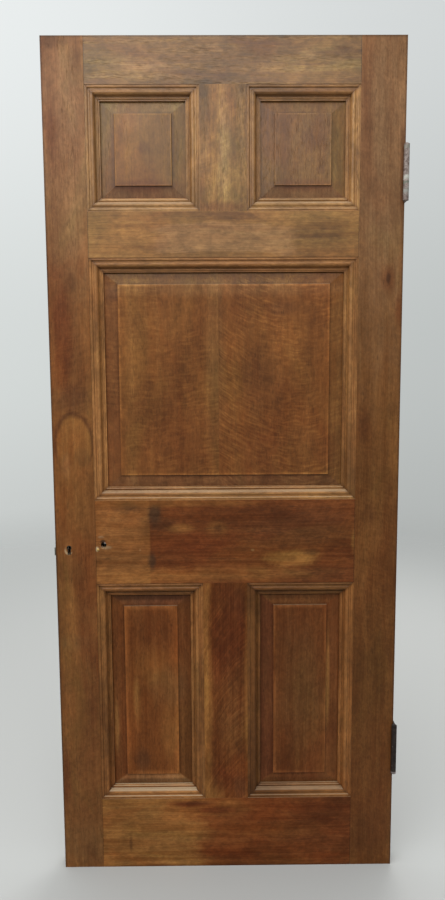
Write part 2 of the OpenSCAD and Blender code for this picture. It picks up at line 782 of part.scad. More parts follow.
module latch_spring() color(steel) {
    last = spring_turns * spring_steps;
    points = [for (i = [0 : last]) for (k = [0 : spring_ring - 1]) coil_point(i, k)];
    side_faces = [
        for (i = [0 : last - 1]) for (k = [0 : spring_ring - 1])
            let (next = (k + 1) % spring_ring, a = i * spring_ring, b = (i + 1) * spring_ring)
                each [[a + k, b + k, b + next], [a + k, b + next, a + next]]
    ];
    first_face = [for (k = [0 : spring_ring - 1]) k];
    last_face = [for (k = [spring_ring - 1 : -1 : 0]) last * spring_ring + k];
    polyhedron(points, concat(side_faces, [first_face], [last_face]));
}

// Follower: a boss that turns in case and cap, a collar between them, a lug and a square socket
module follower() color(brass) difference() {
    union() {
        through(case_y) translate([spindle_x, spindle_z]) circle(boss_r);
        through([-collar_t / 2, collar_t / 2]) translate([spindle_x, spindle_z]) {
            circle(collar_r);
            translate([-lug_w / 2, -lug_r]) square([lug_w, lug_r]);
        }
    }
    through([case_y[0] - eps, case_y[1] + eps]) translate([spindle_x, spindle_z])
        square(spindle_sq, center = true);
}

// Dead bolt drawn back flush, with a slotted tail on its guide post and a notch for the key
module dead_bolt() color(brass) {
    start = -edge_x + dead_set;
    slot_r = post_d / 2 + bolt_clear;
    block([start, -bolt_t / 2, dead_z[0]], [start + dead_head_l, bolt_t / 2, dead_z[1]]);
    difference() {
        block(
            [start, -dead_tail_t / 2, dead_z[0]],
            [-edge_x + dead_l, dead_tail_t / 2, dead_z[0] + dead_tail_h]);
        block(
            [post_x - slot_r, -bolt_t, post_z - slot_r],
            [post_x + dead_throw + slot_r, bolt_t, post_z + slot_r]);
        block(
            [key_x - talon_w / 2, -bolt_t, dead_z[0] - eps],
            [key_x + talon_w / 2, bolt_t, dead_z[0] + talon_d]);
    }
}

// Bow spring: its crown bears on the top of the case and its feet on the dead bolt's tail
module bow_spring() color(steel) {
    low = dead_z[0] + dead_tail_h + bow_clear;
    rise = room_z[1] - bow_clear - low;
    outer_r = (bow_half * bow_half + rise * rise) / (2 * rise);
    bow_x = -edge_x + dead_l - bow_half - dead_throw - 2 * bow_t;
    intersection() {
        through([-dead_tail_t / 2, dead_tail_t / 2])
            translate([bow_x, low + rise - outer_r]) difference() {
                circle(outer_r, $fn = 180);
                circle(outer_r - bow_t, $fn = 180);
            }
        block([bow_x - outer_r, -bolt_t, low], [bow_x + outer_r, bolt_t, low + 2 * rise]);
    }
}

module keyhole_lining() color(brass) difference() {
    through([front_y, front_y + lining_d]) keyhole_outline(lining_wall);
    through([front_y - eps, front_y + lining_d + eps]) keyhole_outline(0);
}

// Puts its children at the left-over screw, along +Y
module at_rose_screw() {
    translate([spindle_x - rose_screw_left, front_y, spindle_z - rose_screw_low])
        rotate([-90, 0, 0]) children();
}

// Round-headed screw left in the rail beside the spindle hole
module rose_screw() color(brass) at_rose_screw() {
    dome_r = (rose_head_d * rose_head_d / 4 + rose_head_rise * rose_head_rise) / (2 * rose_head_rise);
    cylinder(h = rose_screw_l, d = rose_shank_d);
    intersection() {
        translate([0, 0, dome_r - rose_head_rise]) sphere(dome_r);
        translate([-rose_head_d, -rose_head_d, -rose_head_rise])
            cube([2 * rose_head_d, 2 * rose_head_d, rose_head_rise]);
    }
}

lock_stile();
hinge_stile();
top_rail();
frieze_rail();
lock_rail();
bottom_rail();
upper_muntin();
lower_muntin();
for (o = openings) panel(o);
for (o = openings) for (s = [0 : 3])
    moulding(o, s);
lock_stile_wedges();
hinge_stile_wedges();
upper_door_leaf();
upper_jamb_leaf();
upper_pin();
upper_hinge_screws();
lower_door_leaf();
lower_jamb_leaf();
lower_pin();
lower_hinge_screws();
forend();
forend_screws();
lock_case();
lock_cap();
cap_screws();
latch_bolt();
latch_spring();
follower();
dead_bolt();
bow_spring();
keyhole_lining();
rose_screw();
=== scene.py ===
import bpy
import math
from mathutils import Matrix, Vector


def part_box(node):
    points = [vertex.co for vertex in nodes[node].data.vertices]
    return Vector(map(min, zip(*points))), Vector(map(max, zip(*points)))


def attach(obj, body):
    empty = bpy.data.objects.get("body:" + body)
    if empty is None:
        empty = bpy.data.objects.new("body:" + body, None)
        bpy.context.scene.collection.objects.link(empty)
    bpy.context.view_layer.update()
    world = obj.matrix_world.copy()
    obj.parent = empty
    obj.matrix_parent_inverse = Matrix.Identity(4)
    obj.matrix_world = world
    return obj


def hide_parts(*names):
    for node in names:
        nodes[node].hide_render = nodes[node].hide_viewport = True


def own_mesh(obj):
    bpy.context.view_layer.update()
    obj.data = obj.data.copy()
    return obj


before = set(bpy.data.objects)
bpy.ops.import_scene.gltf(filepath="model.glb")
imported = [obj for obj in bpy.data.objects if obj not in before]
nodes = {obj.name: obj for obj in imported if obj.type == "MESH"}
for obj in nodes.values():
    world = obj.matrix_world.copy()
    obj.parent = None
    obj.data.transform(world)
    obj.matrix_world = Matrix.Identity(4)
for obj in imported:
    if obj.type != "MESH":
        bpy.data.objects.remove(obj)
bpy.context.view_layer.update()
print("frame loaded:", len(nodes), "pieces")

# edges of the leaf, read from the frame so that every finish follows the solids
lockStileLow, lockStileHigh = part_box("lock_stile")
hingeStileLow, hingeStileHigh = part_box("hinge_stile")
leafLeft, leafRight = lockStileLow.x, hingeStileHigh.x
leafTop, leafMiddle = lockStileHigh.z, lockStileHigh.z / 2
innerLeft, innerRight = lockStileHigh.x, hingeStileLow.x


# Node helpers

def feed(tree, socket, value):
    # links a socket to another, or gives it a plain value
    if isinstance(value, bpy.types.NodeSocket):
        tree.links.new(value, socket)
    else:
        socket.default_value = value


def lay(tree, kind, inputs=None, **settings):
    node = tree.nodes.new("ShaderNode" + kind)
    for key, value in settings.items():
        setattr(node, key, value)
    for key, value in (inputs or {}).items():
        feed(tree, node.inputs[key], value)
    return node


def calc(tree, operation, a, b=0.0, c=0.0):
    return lay(tree, "Math", {0: a, 1: b, 2: c}, operation=operation).outputs[0]


def ease(tree, value, low, high, toLow=0.0, toHigh=1.0):
    # smooth step from low to high
    wanted = {0: value, 1: low, 2: high, 3: toLow, 4: toHigh}
    return lay(tree, "MapRange", wanted, interpolation_type="SMOOTHSTEP").outputs[0]


def joined(tree, x, y, z):
    return lay(tree, "CombineXYZ", {0: x, 1: y, 2: z}).outputs[0]


def mottle(tree, vector, scale, detail=2.0, rough=0.5, distort=0.0):
    wanted = {"Vector": vector, "Scale": scale, "Detail": detail, "Roughness": rough, "Distortion": distort}
    return lay(tree, "TexNoise", wanted).outputs[0]


mixSockets = {"under": 6, "over": 7, "result": 2}  # the colour sockets of a mix node


def tint(tree, factor, under, over, how="MIX"):
    node = lay(tree, "Mix", {0: factor}, data_type="RGBA", blend_type=how)
    for key, tone in (("under", under), ("over", over)):
        linked = isinstance(tone, bpy.types.NodeSocket)
        feed(tree, node.inputs[mixSockets[key]], tone if linked else (*tone, 1.0))
    return node.outputs[mixSockets["result"]]


def dim(tree, tone, share):
    return lay(tree, "VectorMath", {0: tone, "Scale": share}, operation="SCALE").outputs[0]


def sway(tree, tone, noise, low, much):
    # darkens and lightens a tone by the same share
    return dim(tree, tone, ease(tree, noise, low, 1.0 - low, 1.0 - much, 1.0 + much))


def within(tree, value, low, high):
    # how far a value lies inside two limits, below zero outside them
    return calc(tree, "MINIMUM", calc(tree, "SUBTRACT", value, low), calc(tree, "SUBTRACT", high, value))


def newFinish(name):
    finish = bpy.data.materials.new(name)
    finish.use_nodes = True
    finish.node_tree.nodes.clear()
    return finish, finish.node_tree


def closeFinish(tree, plainTone, inputs):
    skin = lay(tree, "BsdfPrincipled", {"Base Color": (*plainTone, 1.0)})
    for key, value in inputs.items():
        feed(tree, skin.inputs[key], value)
    lay(tree, "OutputMaterial", {"Surface": skin.outputs[0]})


# Oak: one finish for each board, drawn from the board's own dictionary

oakHabit = {
    # noises: scale per metre, share of it along the grain, detail, roughness, distortion
    "broad": (26.0, 0.05, 2.0, 0.55, 0.0),
    "rings": (92.0, 0.028, 3.0, 0.6, 0.1),
    "fibre": (430.0, 0.018, 2.0, 0.6, 0.0),
    "pore": (1150.0, 0.05, 1.0, 0.5, 0.0),
    "cloud": (11.0, 0.40, 4.0, 0.62, 0.0),
    "blotch": (62.0, 0.55, 3.0, 0.6, 0.5),
    "grit": (190.0, 0.55, 3.0, 0.65, 0.0),
    "bloom": (8.0, 0.40, 4.0, 0.6, 0.6),
    "fray": (30.0, 0.30, 3.0, 0.62, 0.0),        # ragged edges of the stain
    # streaks of light and dark wood
    "streakBroad": 0.24, "streakRings": 0.46, "streakFibre": 0.30, "streakWidth": 0.15,
    "pale": (1.26, 1.34, 1.40), "deep": (0.78, 0.70, 0.64),  # shares of the board's mean tone
    "poreRange": (0.56, 0.70), "poreRings": (0.35, 0.62), "poreMuch": 0.5, "poreTone": (0.030, 0.012, 0.005),
    # uneven stain
    "cloudLow": 0.32, "cloudMuch": 0.26, "blotchLow": 0.30, "blotchMuch": 0.16,
    "gritLow": 0.30, "gritMuch": 0.12,
    "redRange": (0.50, 0.66), "redBloom": (0.90, 0.74, 0.68),
    "greenRange": (0.50, 0.34), "greenBloom": (1.04, 1.20, 1.12),
    # lines of the grain
    "driftScale": 5.0, "rippleScale": 17.0, "slowStretch": 0.45,
    "wander": 0.020,                             # how far the grain drifts sideways, in metres
    "boardStep": (1.37, 0.53, 2.71),             # from one board's grain to the next: across, deep, along
    "jointStep": 4.3, "jointBlur": 0.0005,
    # dust, ends, and painted shade in recesses
    "frontRange": (-0.2, -0.6),                  # how far a face looks forward
    "dustSlope": (0.25, 0.90), "dustCloud": (0.30, 0.65, 0.40, 0.75), "dustTone": (0.42, 0.30, 0.18),
    "endRange": (0.80, 0.96), "endTone": (0.075, 0.030, 0.012),
    "recessShadingRange": (0.80, 0.20), "recessShadingSamples": 6,
    "dullFibre": 0.20, "dullPores": 0.25,
    "bumpRings": 0.4, "bumpFibre": 0.5, "bumpMuch": 0.35, "bumpDepth": 0.0005,
}
plainBoard = {  # what a board has unless its own dictionary says otherwise
    "wave": 0.004, "spread": 1.0, "uneven": 1.0, "bloom": 0.8, "dust": 1.0, "endDark": 0.7, "dull": 0.28,
    # painted shade: the next keys darken corners and recesses found by ambient occlusion
    "recessShading": 0.18, "recessShadingReach": 0.010, "recessShadingTone": (0.040, 0.018, 0.009),
    "rubAndHighlight": 0.6, "rubAndHighlightWidth": 0.0042, "mouldingShade": 0.0,
}
stainTones = {
    "gold": (0.290, 0.120, 0.031),
    "pale": (0.360, 0.185, 0.077),
    "ash": (0.340, 0.195, 0.105),
    "red": (0.115, 0.028, 0.008),
    "dark": (0.080, 0.028, 0.010),
    "umber": (0.085, 0.027, 0.0055),
    "plum": (0.098, 0.038, 0.015),
    "olive": (0.145, 0.072, 0.024),
    "smoke": (0.062, 0.032, 0.015),
    "sootAndShade": (0.030, 0.014, 0.007),
    "chip": (0.540, 0.400, 0.230),
    "bare": (0.190, 0.072, 0.020),
}


def stain(kind, x, z, wide, high, much, soft=0.6, square=False, ragged=1.1):
    # one field of other stain on the face: its middle, its half sizes, how strong, soft and ragged
    return {"tone": stainTones[kind], "at": (x, z), "size": (wide, high), "much": much, "soft": soft,
            "square": square, "ragged": ragged}


def layStain(tree, veil, boardTone, spot, fray, patch):
    reaches = []
    for axis, middle, half in zip("xz", patch["at"], patch["size"]):
        away = calc(tree, "ABSOLUTE", calc(tree, "SUBTRACT", spot[axis], middle))
        reaches.append(calc(tree, "DIVIDE", away, half))
    if patch["square"]:
        reach = calc(tree, "MAXIMUM", *reaches)
    else:
        reach = lay(tree, "VectorMath", {0: joined(tree, *reaches, 0.0)}, operation="LENGTH").outputs["Value"]
    if patch["ragged"]:
        reach = calc(tree, "MULTIPLY_ADD", fray, patch["ragged"], reach)
    share = ease(tree, reach, 1.0 + patch["soft"], 1.0 - patch["soft"], 0.0, patch["much"])
    ratio = [new / old for new, old in zip(patch["tone"], boardTone)]
    return tint(tree, share, veil, ratio)


def grainPlaces(tree, board):
    # the board's own axes: along the grain, across it, and the drifting lines of the grain
    habit = oakHabit
    coords = lay(tree, "TexCoord")
    x, y, z = lay(tree, "SeparateXYZ", {0: coords.outputs["Object"]}).outputs
    along, across = (z, x) if board["grain"] == "z" else (x, z)
    second, shift = None, 0.0
    if "joint" in board:
        # two boards glued side by side do not share their grain
        blur = habit["jointBlur"]
        second = ease(tree, x, board["joint"] - blur, board["joint"] + blur)
        shift = calc(tree, "MULTIPLY", second, habit["jointStep"])
    stepAcross, stepDeep, stepAlong = (board["seed"] * step for step in habit["boardStep"])
    seededAcross = calc(tree, "ADD", calc(tree, "ADD", across, stepAcross), shift)
    seededAlong = calc(tree, "ADD", calc(tree, "ADD", along, stepAlong), shift)
    depth = calc(tree, "ADD", y, stepDeep)
    slow = joined(tree, seededAcross, depth, calc(tree, "MULTIPLY", seededAlong, habit["slowStretch"]))
    drift = calc(tree, "SUBTRACT", mottle(tree, slow, habit["driftScale"]), 0.5)
    bent = calc(tree, "MULTIPLY_ADD", drift, habit["wander"], seededAcross)
    ripple = calc(tree, "SUBTRACT", mottle(tree, slow, habit["rippleScale"]), 0.5)
    bent = calc(tree, "MULTIPLY_ADD", ripple, board["wave"], bent)
    return {
        "x": x, "z": z, "along": along, "across": across, "second": second,
        "seededAlong": seededAlong, "depth": depth, "slow": slow, "bent": bent, "ripple": ripple,
        "facing": dict(zip("xyz", lay(tree, "SeparateXYZ", {0: coords.outputs["Normal"]}).outputs)),
    }


def grainNoise(tree, spot, key):
    # noise drawn out along the grain
    scale, stretch, detail, rough, distort = oakHabit[key]
    place = joined(tree, spot["bent"], spot["depth"], calc(tree, "MULTIPLY", spot["seededAlong"], stretch))
    return mottle(tree, place, scale, detail, rough, distort)


def plankGrain(tree, board, spot):
    # streaks and pores, clouds of lighter and darker stain, and a redder or greener bloom
    habit = oakHabit
    noises = ("broad", "rings", "fibre", "pore", "cloud", "blotch", "grit", "bloom")
    grain = {key: grainNoise(tree, spot, key) for key in noises}
    streak = calc(tree, "MULTIPLY", grain["broad"], habit["streakBroad"])
    streak = calc(tree, "MULTIPLY_ADD", grain["rings"], habit["streakRings"], streak)
    streak = calc(tree, "MULTIPLY_ADD", grain["fibre"], habit["streakFibre"], streak)
    width = habit["streakWidth"] / board["spread"]
    deep = [part * share for part, share in zip(board["tone"], habit["deep"])]
    pale = [part * share for part, share in zip(board["tone"], habit["pale"])]
    tone = tint(tree, ease(tree, streak, 0.5 - width, 0.5 + width), deep, pale)
    tone = sway(tree, tone, grain["cloud"], habit["cloudLow"], habit["cloudMuch"] * board["uneven"])
    tone = sway(tree, tone, grain["blotch"], habit["blotchLow"], habit["blotchMuch"] * board["uneven"])
    tone = sway(tree, tone, grain["grit"], habit["gritLow"], habit["gritMuch"])
    for hue in ("red", "green"):
        share = ease(tree, grain["bloom"], *habit[hue + "Range"], 0.0, board["bloom"])
        tone = tint(tree, share, tone, habit[hue + "Bloom"], "MULTIPLY")
    openPores = ease(tree, grain["pore"], *habit["poreRange"])
    pores = calc(tree, "MULTIPLY", openPores, ease(tree, grain["rings"], *habit["poreRings"]))
    return {**grain, "tone": tone, "pores": pores}


fleckHabit = {
    "ripple": 0.020, "acrossStretch": 0.19, "depthStretch": 0.2, "detail": (2.0, 0.55, 0.3),
    "zoneScale": 14.0, "zoneRange": (0.36, 0.60, 0.30, 1.0),
    "lightRange": (0.50, 0.64), "light": (1.44, 1.55, 1.58),
    "shadowRange": (0.47, 0.35), "shadow": (0.76, 0.68, 0.64),
    "fray": 0.5, "bump": 0.3,
}


def rayFleck(tree, board, spot):
    # lines of ray fleck cross the grain, tilted and bowed as the board was sawn
    habit, first = fleckHabit, board["fleck"]
    other = board.get("secondFleck", first)

    def pick(key):
        if spot["second"] is None or first[key] == other[key]:
            return first[key]
        return ease(tree, spot["second"], 0.0, 1.0, first[key], other[key])

    off = calc(tree, "SUBTRACT", spot["across"], pick("centre"))
    lean = calc(tree, "MULTIPLY", off, pick("tilt"))
    curve = calc(tree, "MULTIPLY", calc(tree, "MULTIPLY", off, off), pick("bow"))
    line = calc(tree, "SUBTRACT", calc(tree, "SUBTRACT", spot["seededAlong"], lean), curve)
    line = calc(tree, "MULTIPLY_ADD", spot["ripple"], habit["ripple"], line)
    place = joined(tree, line, calc(tree, "MULTIPLY", spot["depth"], habit["depthStretch"]),
                   calc(tree, "MULTIPLY", spot["bent"], habit["acrossStretch"]))
    fleck = mottle(tree, place, first["scale"], *habit["detail"])
    zone = ease(tree, mottle(tree, spot["slow"], habit["zoneScale"]), *habit["zoneRange"])
    return fleck, calc(tree, "MULTIPLY", zone, pick("much"))


panelWearAndLight = {
    "slant": 0.85,       # the margin at the ends of a panel is narrower than at its sides
    "mitreBlur": 0.004,  # how softly the painted light and shade of two margins meets
    "edgeBlur": 0.0006, "patchScale": 14.0, "patchDetail": 3.0, "patchRange": (0.30, 0.60, 0.35, 1.0),
    "stepShadowFrom": -0.0085, "stepShadowTo": -0.0010, "stepShadowMuch": 0.55, "stepShadowTone": (0.45, 0.38, 0.34),
    "mouldingShadeFrom": -0.010, "mouldingShadeTo": -0.019, "mouldingShadeSides": 0.2, "mouldingShadeTone": (0.40, 0.42, 0.45),
    "rubAndHighlightTo": 0.0008, "rubAndHighlightTone": (1.75, 1.90, 2.00),
}


def wearAndLightPanel(tree, board, spot, front, tone):
    wearAndLight, marginLighting = panelWearAndLight, board["margins"]
    x0, x1, z0, z1 = board["field"]
    inX, inZ = within(tree, spot["x"], x0, x1), within(tree, spot["z"], z0, z1)
    inside = calc(tree, "MINIMUM", inX, inZ)
    patches = mottle(tree, spot["slow"], wearAndLight["patchScale"], wearAndLight["patchDetail"])
    patchy = ease(tree, patches, *wearAndLight["patchRange"])
    margin = calc(tree, "MULTIPLY", ease(tree, inside, wearAndLight["edgeBlur"], -wearAndLight["edgeBlur"]), front)

    # each side of the bevelled margin has its own painted light, shade and reflection, as the sides face the
    # light differently
    corner = calc(tree, "MULTIPLY_ADD", inX, -wearAndLight["slant"], inZ)
    upright = ease(tree, corner, -wearAndLight["mitreBlur"], wearAndLight["mitreBlur"])
    sides = tint(tree, ease(tree, spot["x"], x0, x1), marginLighting["left"], marginLighting["right"])
    ends = tint(tree, ease(tree, spot["z"], z0, z1), marginLighting["bottom"], marginLighting["top"])
    tone = tint(tree, margin, tone, tint(tree, upright, ends, sides), "MULTIPLY")

    # painted shadow at the foot of the raised field, and painted shade where the margin runs under the
    # mouldings
    stepShadow = ease(tree, inside, wearAndLight["stepShadowFrom"], wearAndLight["stepShadowTo"], 0.0, wearAndLight["stepShadowMuch"])
    stepShadow = calc(tree, "MULTIPLY", calc(tree, "MULTIPLY", stepShadow, margin), patchy)
    tone = tint(tree, stepShadow, tone, wearAndLight["stepShadowTone"], "MULTIPLY")
    mouldingShade = ease(tree, inside, wearAndLight["mouldingShadeFrom"], wearAndLight["mouldingShadeTo"], 0.0, board["mouldingShade"])
    atEnds = ease(tree, upright, 0.0, 1.0, 1.0, wearAndLight["mouldingShadeSides"])
    mouldingShade = calc(tree, "MULTIPLY", calc(tree, "MULTIPLY", mouldingShade, margin), atEnds)
    tone = tint(tree, mouldingShade, tone, wearAndLight["mouldingShadeTone"], "MULTIPLY")

    # the arris of the raised field is painted pale, as rubbed wear and painted highlight
    rubAndHighlight = ease(tree, inside, board["rubAndHighlightWidth"], wearAndLight["rubAndHighlightTo"], 0.0, board["rubAndHighlight"])
    rubAndHighlight = calc(tree, "MULTIPLY", rubAndHighlight, calc(tree, "SUBTRACT", 1.0, margin))
    rubAndHighlight = calc(tree, "MULTIPLY", calc(tree, "MULTIPLY", rubAndHighlight, front), patchy)
    return tint(tree, rubAndHighlight, tone, wearAndLight["rubAndHighlightTone"], "MULTIPLY")


def mitreGap(tree, board, spot):
    # how far a place on a moulding lies from the mitre at its nearer end
    low, high = board["box"]
    fromOuter = {
        "bottom": (spot["z"], low.z), "top": (high.z, spot["z"]),
        "left": (spot["x"], low.x), "right": (high.x, spot["x"]),
    }[board["side"]]
    ends = (low.x, high.x) if board["grain"] == "x" else (low.z, high.z)
    return calc(tree, "SUBTRACT", within(tree, spot["along"], *ends), calc(tree, "SUBTRACT", *fromOuter))


mouldingWearAndLight = {
    "crestRange": (0.80, 0.99), "crestCloud": (0.35, 0.6, 0.4, 1.0), "crestWearAndHighlightTone": (1.28, 1.36, 1.45),
    "mitreDarkReach": 0.010, "mitreDarkMuch": 0.75, "mitreDarkBlotch": (0.30, 0.60, 0.4, 1.0),
    "mitreDarkTone": (0.48, 0.42, 0.38),
}


def wearAndLightMoulding(tree, board, spot, grain, tone):
    # crests painted pale as rubbed wear and painted highlight, and darker towards the mitres
    wearAndLight = mouldingWearAndLight
    forward = calc(tree, "MULTIPLY", spot["facing"]["y"], -1.0)
    crestWearAndHighlight = ease(tree, forward, *wearAndLight["crestRange"], 0.0, board["crestWearAndHighlight"])
    crestWearAndHighlight = calc(tree, "MULTIPLY", crestWearAndHighlight, ease(tree, grain["cloud"], *wearAndLight["crestCloud"]))
    tone = tint(tree, crestWearAndHighlight, tone, wearAndLight["crestWearAndHighlightTone"], "MULTIPLY")
    mitreDark = ease(tree, mitreGap(tree, board, spot), wearAndLight["mitreDarkReach"], 0.0, 0.0, wearAndLight["mitreDarkMuch"])
    mitreDark = calc(tree, "MULTIPLY", mitreDark, ease(tree, grain["blotch"], *wearAndLight["mitreDarkBlotch"]))
    return tint(tree, mitreDark, tone, wearAndLight["mitreDarkTone"], "MULTIPLY")


def soilAndShadeOak(tree, board, spot, grain, tone):
    # dust on the ledges, ends of the board that drink more stain, and painted shade in corners and recesses
    # from ambient occlusion, painted light where the recess tone is paler than the wood
    habit, facing = oakHabit, spot["facing"]
    dust = ease(tree, grain["cloud"], *habit["dustCloud"])
    dust = calc(tree, "MULTIPLY", ease(tree, facing["z"], *habit["dustSlope"]), dust)
    tone = tint(tree, calc(tree, "MULTIPLY", dust, board["dust"]), tone, habit["dustTone"])
    endOn = calc(tree, "ABSOLUTE", facing[board["grain"]])
    tone = tint(tree, ease(tree, endOn, *habit["endRange"], 0.0, board["endDark"]), tone, habit["endTone"])
    corners = lay(tree, "AmbientOcclusion", {"Distance": board["recessShadingReach"]}, samples=habit["recessShadingSamples"])
    recessShading = ease(tree, corners.outputs["AO"], *habit["recessShadingRange"], 0.0, board["recessShading"])
    return tint(tree, recessShading, tone, board["recessShadingTone"])


def oakFinish(name, ownLook):
    habit, board = oakHabit, {**plainBoard, **ownLook}
    finish, tree = newFinish(name)
    spot = grainPlaces(tree, board)
    front = ease(tree, spot["facing"]["y"], *habit["frontRange"])
    grain = plankGrain(tree, board, spot)
    tone, fibre, pores = grain["tone"], grain["fibre"], grain["pores"]
    fray = calc(tree, "SUBTRACT", grainNoise(tree, spot, "fray"), 0.5)
    height = calc(tree, "MULTIPLY", fibre, habit["bumpFibre"])
    height = calc(tree, "MULTIPLY_ADD", grain["rings"], habit["bumpRings"], height)
    if "fleck" in board:
        fleck, zone = rayFleck(tree, board, spot)
        for key in ("light", "shadow"):
            share = calc(tree, "MULTIPLY", ease(tree, fleck, *fleckHabit[key + "Range"]), zone)
            tone = tint(tree, share, tone, fleckHabit[key], "MULTIPLY")
        fray = calc(tree, "MULTIPLY_ADD", calc(tree, "SUBTRACT", fleck, 0.5), fleckHabit["fray"], fray)
        height = calc(tree, "MULTIPLY_ADD", fleck, fleckHabit["bump"], height)
    if "stains" in board:
        veil = (1.0, 1.0, 1.0)  # multiplied over the front of the board, so that its grain stays
        for patch in board["stains"]:
            veil = layStain(tree, veil, board["tone"], spot, fray, patch)
        tone = tint(tree, front, tone, veil, "MULTIPLY")
    tone = tint(tree, calc(tree, "MULTIPLY", pores, habit["poreMuch"]), tone, habit["poreTone"])
    if "field" in board:
        tone = wearAndLightPanel(tree, board, spot, front, tone)
    if "side" in board:
        tone = wearAndLightMoulding(tree, board, spot, grain, tone)
    tone = soilAndShadeOak(tree, board, spot, grain, tone)

    dull = calc(tree, "MULTIPLY_ADD", fibre, habit["dullFibre"], board["dull"])
    dull = calc(tree, "MULTIPLY_ADD", pores, habit["dullPores"], dull)
    bump = lay(tree, "Bump", {
        "Strength": habit["bumpMuch"], "Distance": habit["bumpDepth"],
        "Height": calc(tree, "SUBTRACT", height, pores),
    })
    closeFinish(tree, board["tone"], {
        "Base Color": tone,
        "Roughness": dull,
        "Specular IOR Level": board["gloss"],
        "Normal": bump.outputs[0],
    })
    return finish


arrisWidths = {  # eased edges, for each slot
    "oak_frame": 0.0006, "oak_panel": 0.0008, "oak_moulding": 0.0004, "oak_wedge": 0.0003,
    "hinge_iron": 0.0004, "screw_steel": 0.0002, "lock_brass": 0.0003, "lock_steel": 0.0001,
}
arrisHabit = {"weld": 0.00001, "flatAngle": 0.3, "sharpAngle": 32, "segments": 2}


def soften(piece, width):
    # joins the solid's split corners and eases every arris a little
    weld = piece.modifiers.new("weld", "WELD")
    weld.merge_threshold = arrisHabit["weld"]
    flatten = piece.modifiers.new("flatten", "DECIMATE")
    flatten.decimate_type = "DISSOLVE"
    flatten.angle_limit = math.radians(arrisHabit["flatAngle"])
    arris = piece.modifiers.new("arris", "BEVEL")
    arris.width = width
    arris.segments = arrisHabit["segments"]
    arris.limit_method = "ANGLE"
    arris.angle_limit = math.radians(arrisHabit["sharpAngle"])
    arris.use_clamp_overlap = True
    even = piece.modifiers.new("even", "WEIGHTED_NORMAL")
    even.keep_sharp = True


def dress(nodeName, finish, slot):
    piece = nodes[nodeName]
    for place in range(len(piece.data.materials)):
        piece.data.materials[place] = finish
    soften(piece, arrisWidths[slot])


def finishName(nodeName):
    return "oak" + nodeName.title().replace("_", "")


edgeShadeWidth = 0.0035  # width of the painted shade along the arris round the leaf

# Stiles

lockStile = {
    "grain": "z", "seed": 1.0, "tone": (0.203, 0.078, 0.022), "gloss": 0.15, "uneven": 0.60,
    "spread": 0.65,
    "fleck": {"much": 0.10, "scale": 150.0, "tilt": 0.3, "bow": 0.0, "centre": -0.37},
    "stains": [
        stain("ash", -0.370, 1.880, 0.090, 0.260, 0.32, 0.9),
        stain("plum", -0.385, 2.020, 0.040, 0.014, 0.55),
        stain("plum", -0.338, 1.975, 0.010, 0.045, 0.30),
        stain("red", -0.400, 1.800, 0.012, 0.085, 0.55),
        stain("pale", -0.370, 1.600, 0.060, 0.180, 0.32, 0.8),
        stain("red", -0.400, 1.600, 0.010, 0.100, 0.35),
        stain("dark", -0.364, 1.480, 0.011, 0.022, 0.50),
        stain("red", -0.388, 1.373, 0.022, 0.125, 0.70),
        stain("dark", -0.358, 1.272, 0.026, 0.080, 0.50),
        stain("plum", -0.372, 1.205, 0.044, 0.034, 0.60),
        stain("dark", -0.3685, 1.098, 0.0480, 0.0800, 0.70, 0.09, False, 0.2),
        stain("gold", -0.3680, 1.092, 0.0415, 0.0735, 0.66, 0.10, False, 0.2),
        stain("bare", -0.369, 1.020, 0.060, 0.036, 0.85, 0.7),
        stain("olive", -0.347, 1.062, 0.016, 0.022, 0.50),
        stain("pale", -0.388, 1.045, 0.010, 0.026, 0.25),
        stain("gold", -0.375, 0.960, 0.040, 0.070, 0.45, 0.8),
        stain("umber", -0.370, 0.500, 0.090, 0.380, 0.30, 0.9),
        stain("olive", -0.378, 0.600, 0.034, 0.018, 0.50),
        stain("red", -0.350, 0.420, 0.030, 0.260, 0.40, 0.9),
        stain("gold", -0.390, 0.690, 0.018, 0.070, 0.35),
        stain("gold", -0.384, 0.500, 0.020, 0.110, 0.20),
        stain("red", -0.410, 0.240, 0.009, 0.070, 0.55),
        stain("olive", -0.369, 0.060, 0.060, 0.060, 0.45),
        stain("chip", -0.3885, 0.8355, 0.0095, 0.0105, 0.55, 0.20, False, 0.0),
        stain("bare", -0.3855, 0.8415, 0.0105, 0.0120, 1.00, 0.20, False, 0.0),
        # painted shade along the arris of the leaf's side and top, on this line and the next
        stain("sootAndShade", leafLeft, leafMiddle, edgeShadeWidth, leafTop, 0.55, 0.8, True, 0.0),
        stain("sootAndShade", -0.370, leafTop, 0.060, edgeShadeWidth, 0.50, 0.8, True, 0.0),
    ],
}
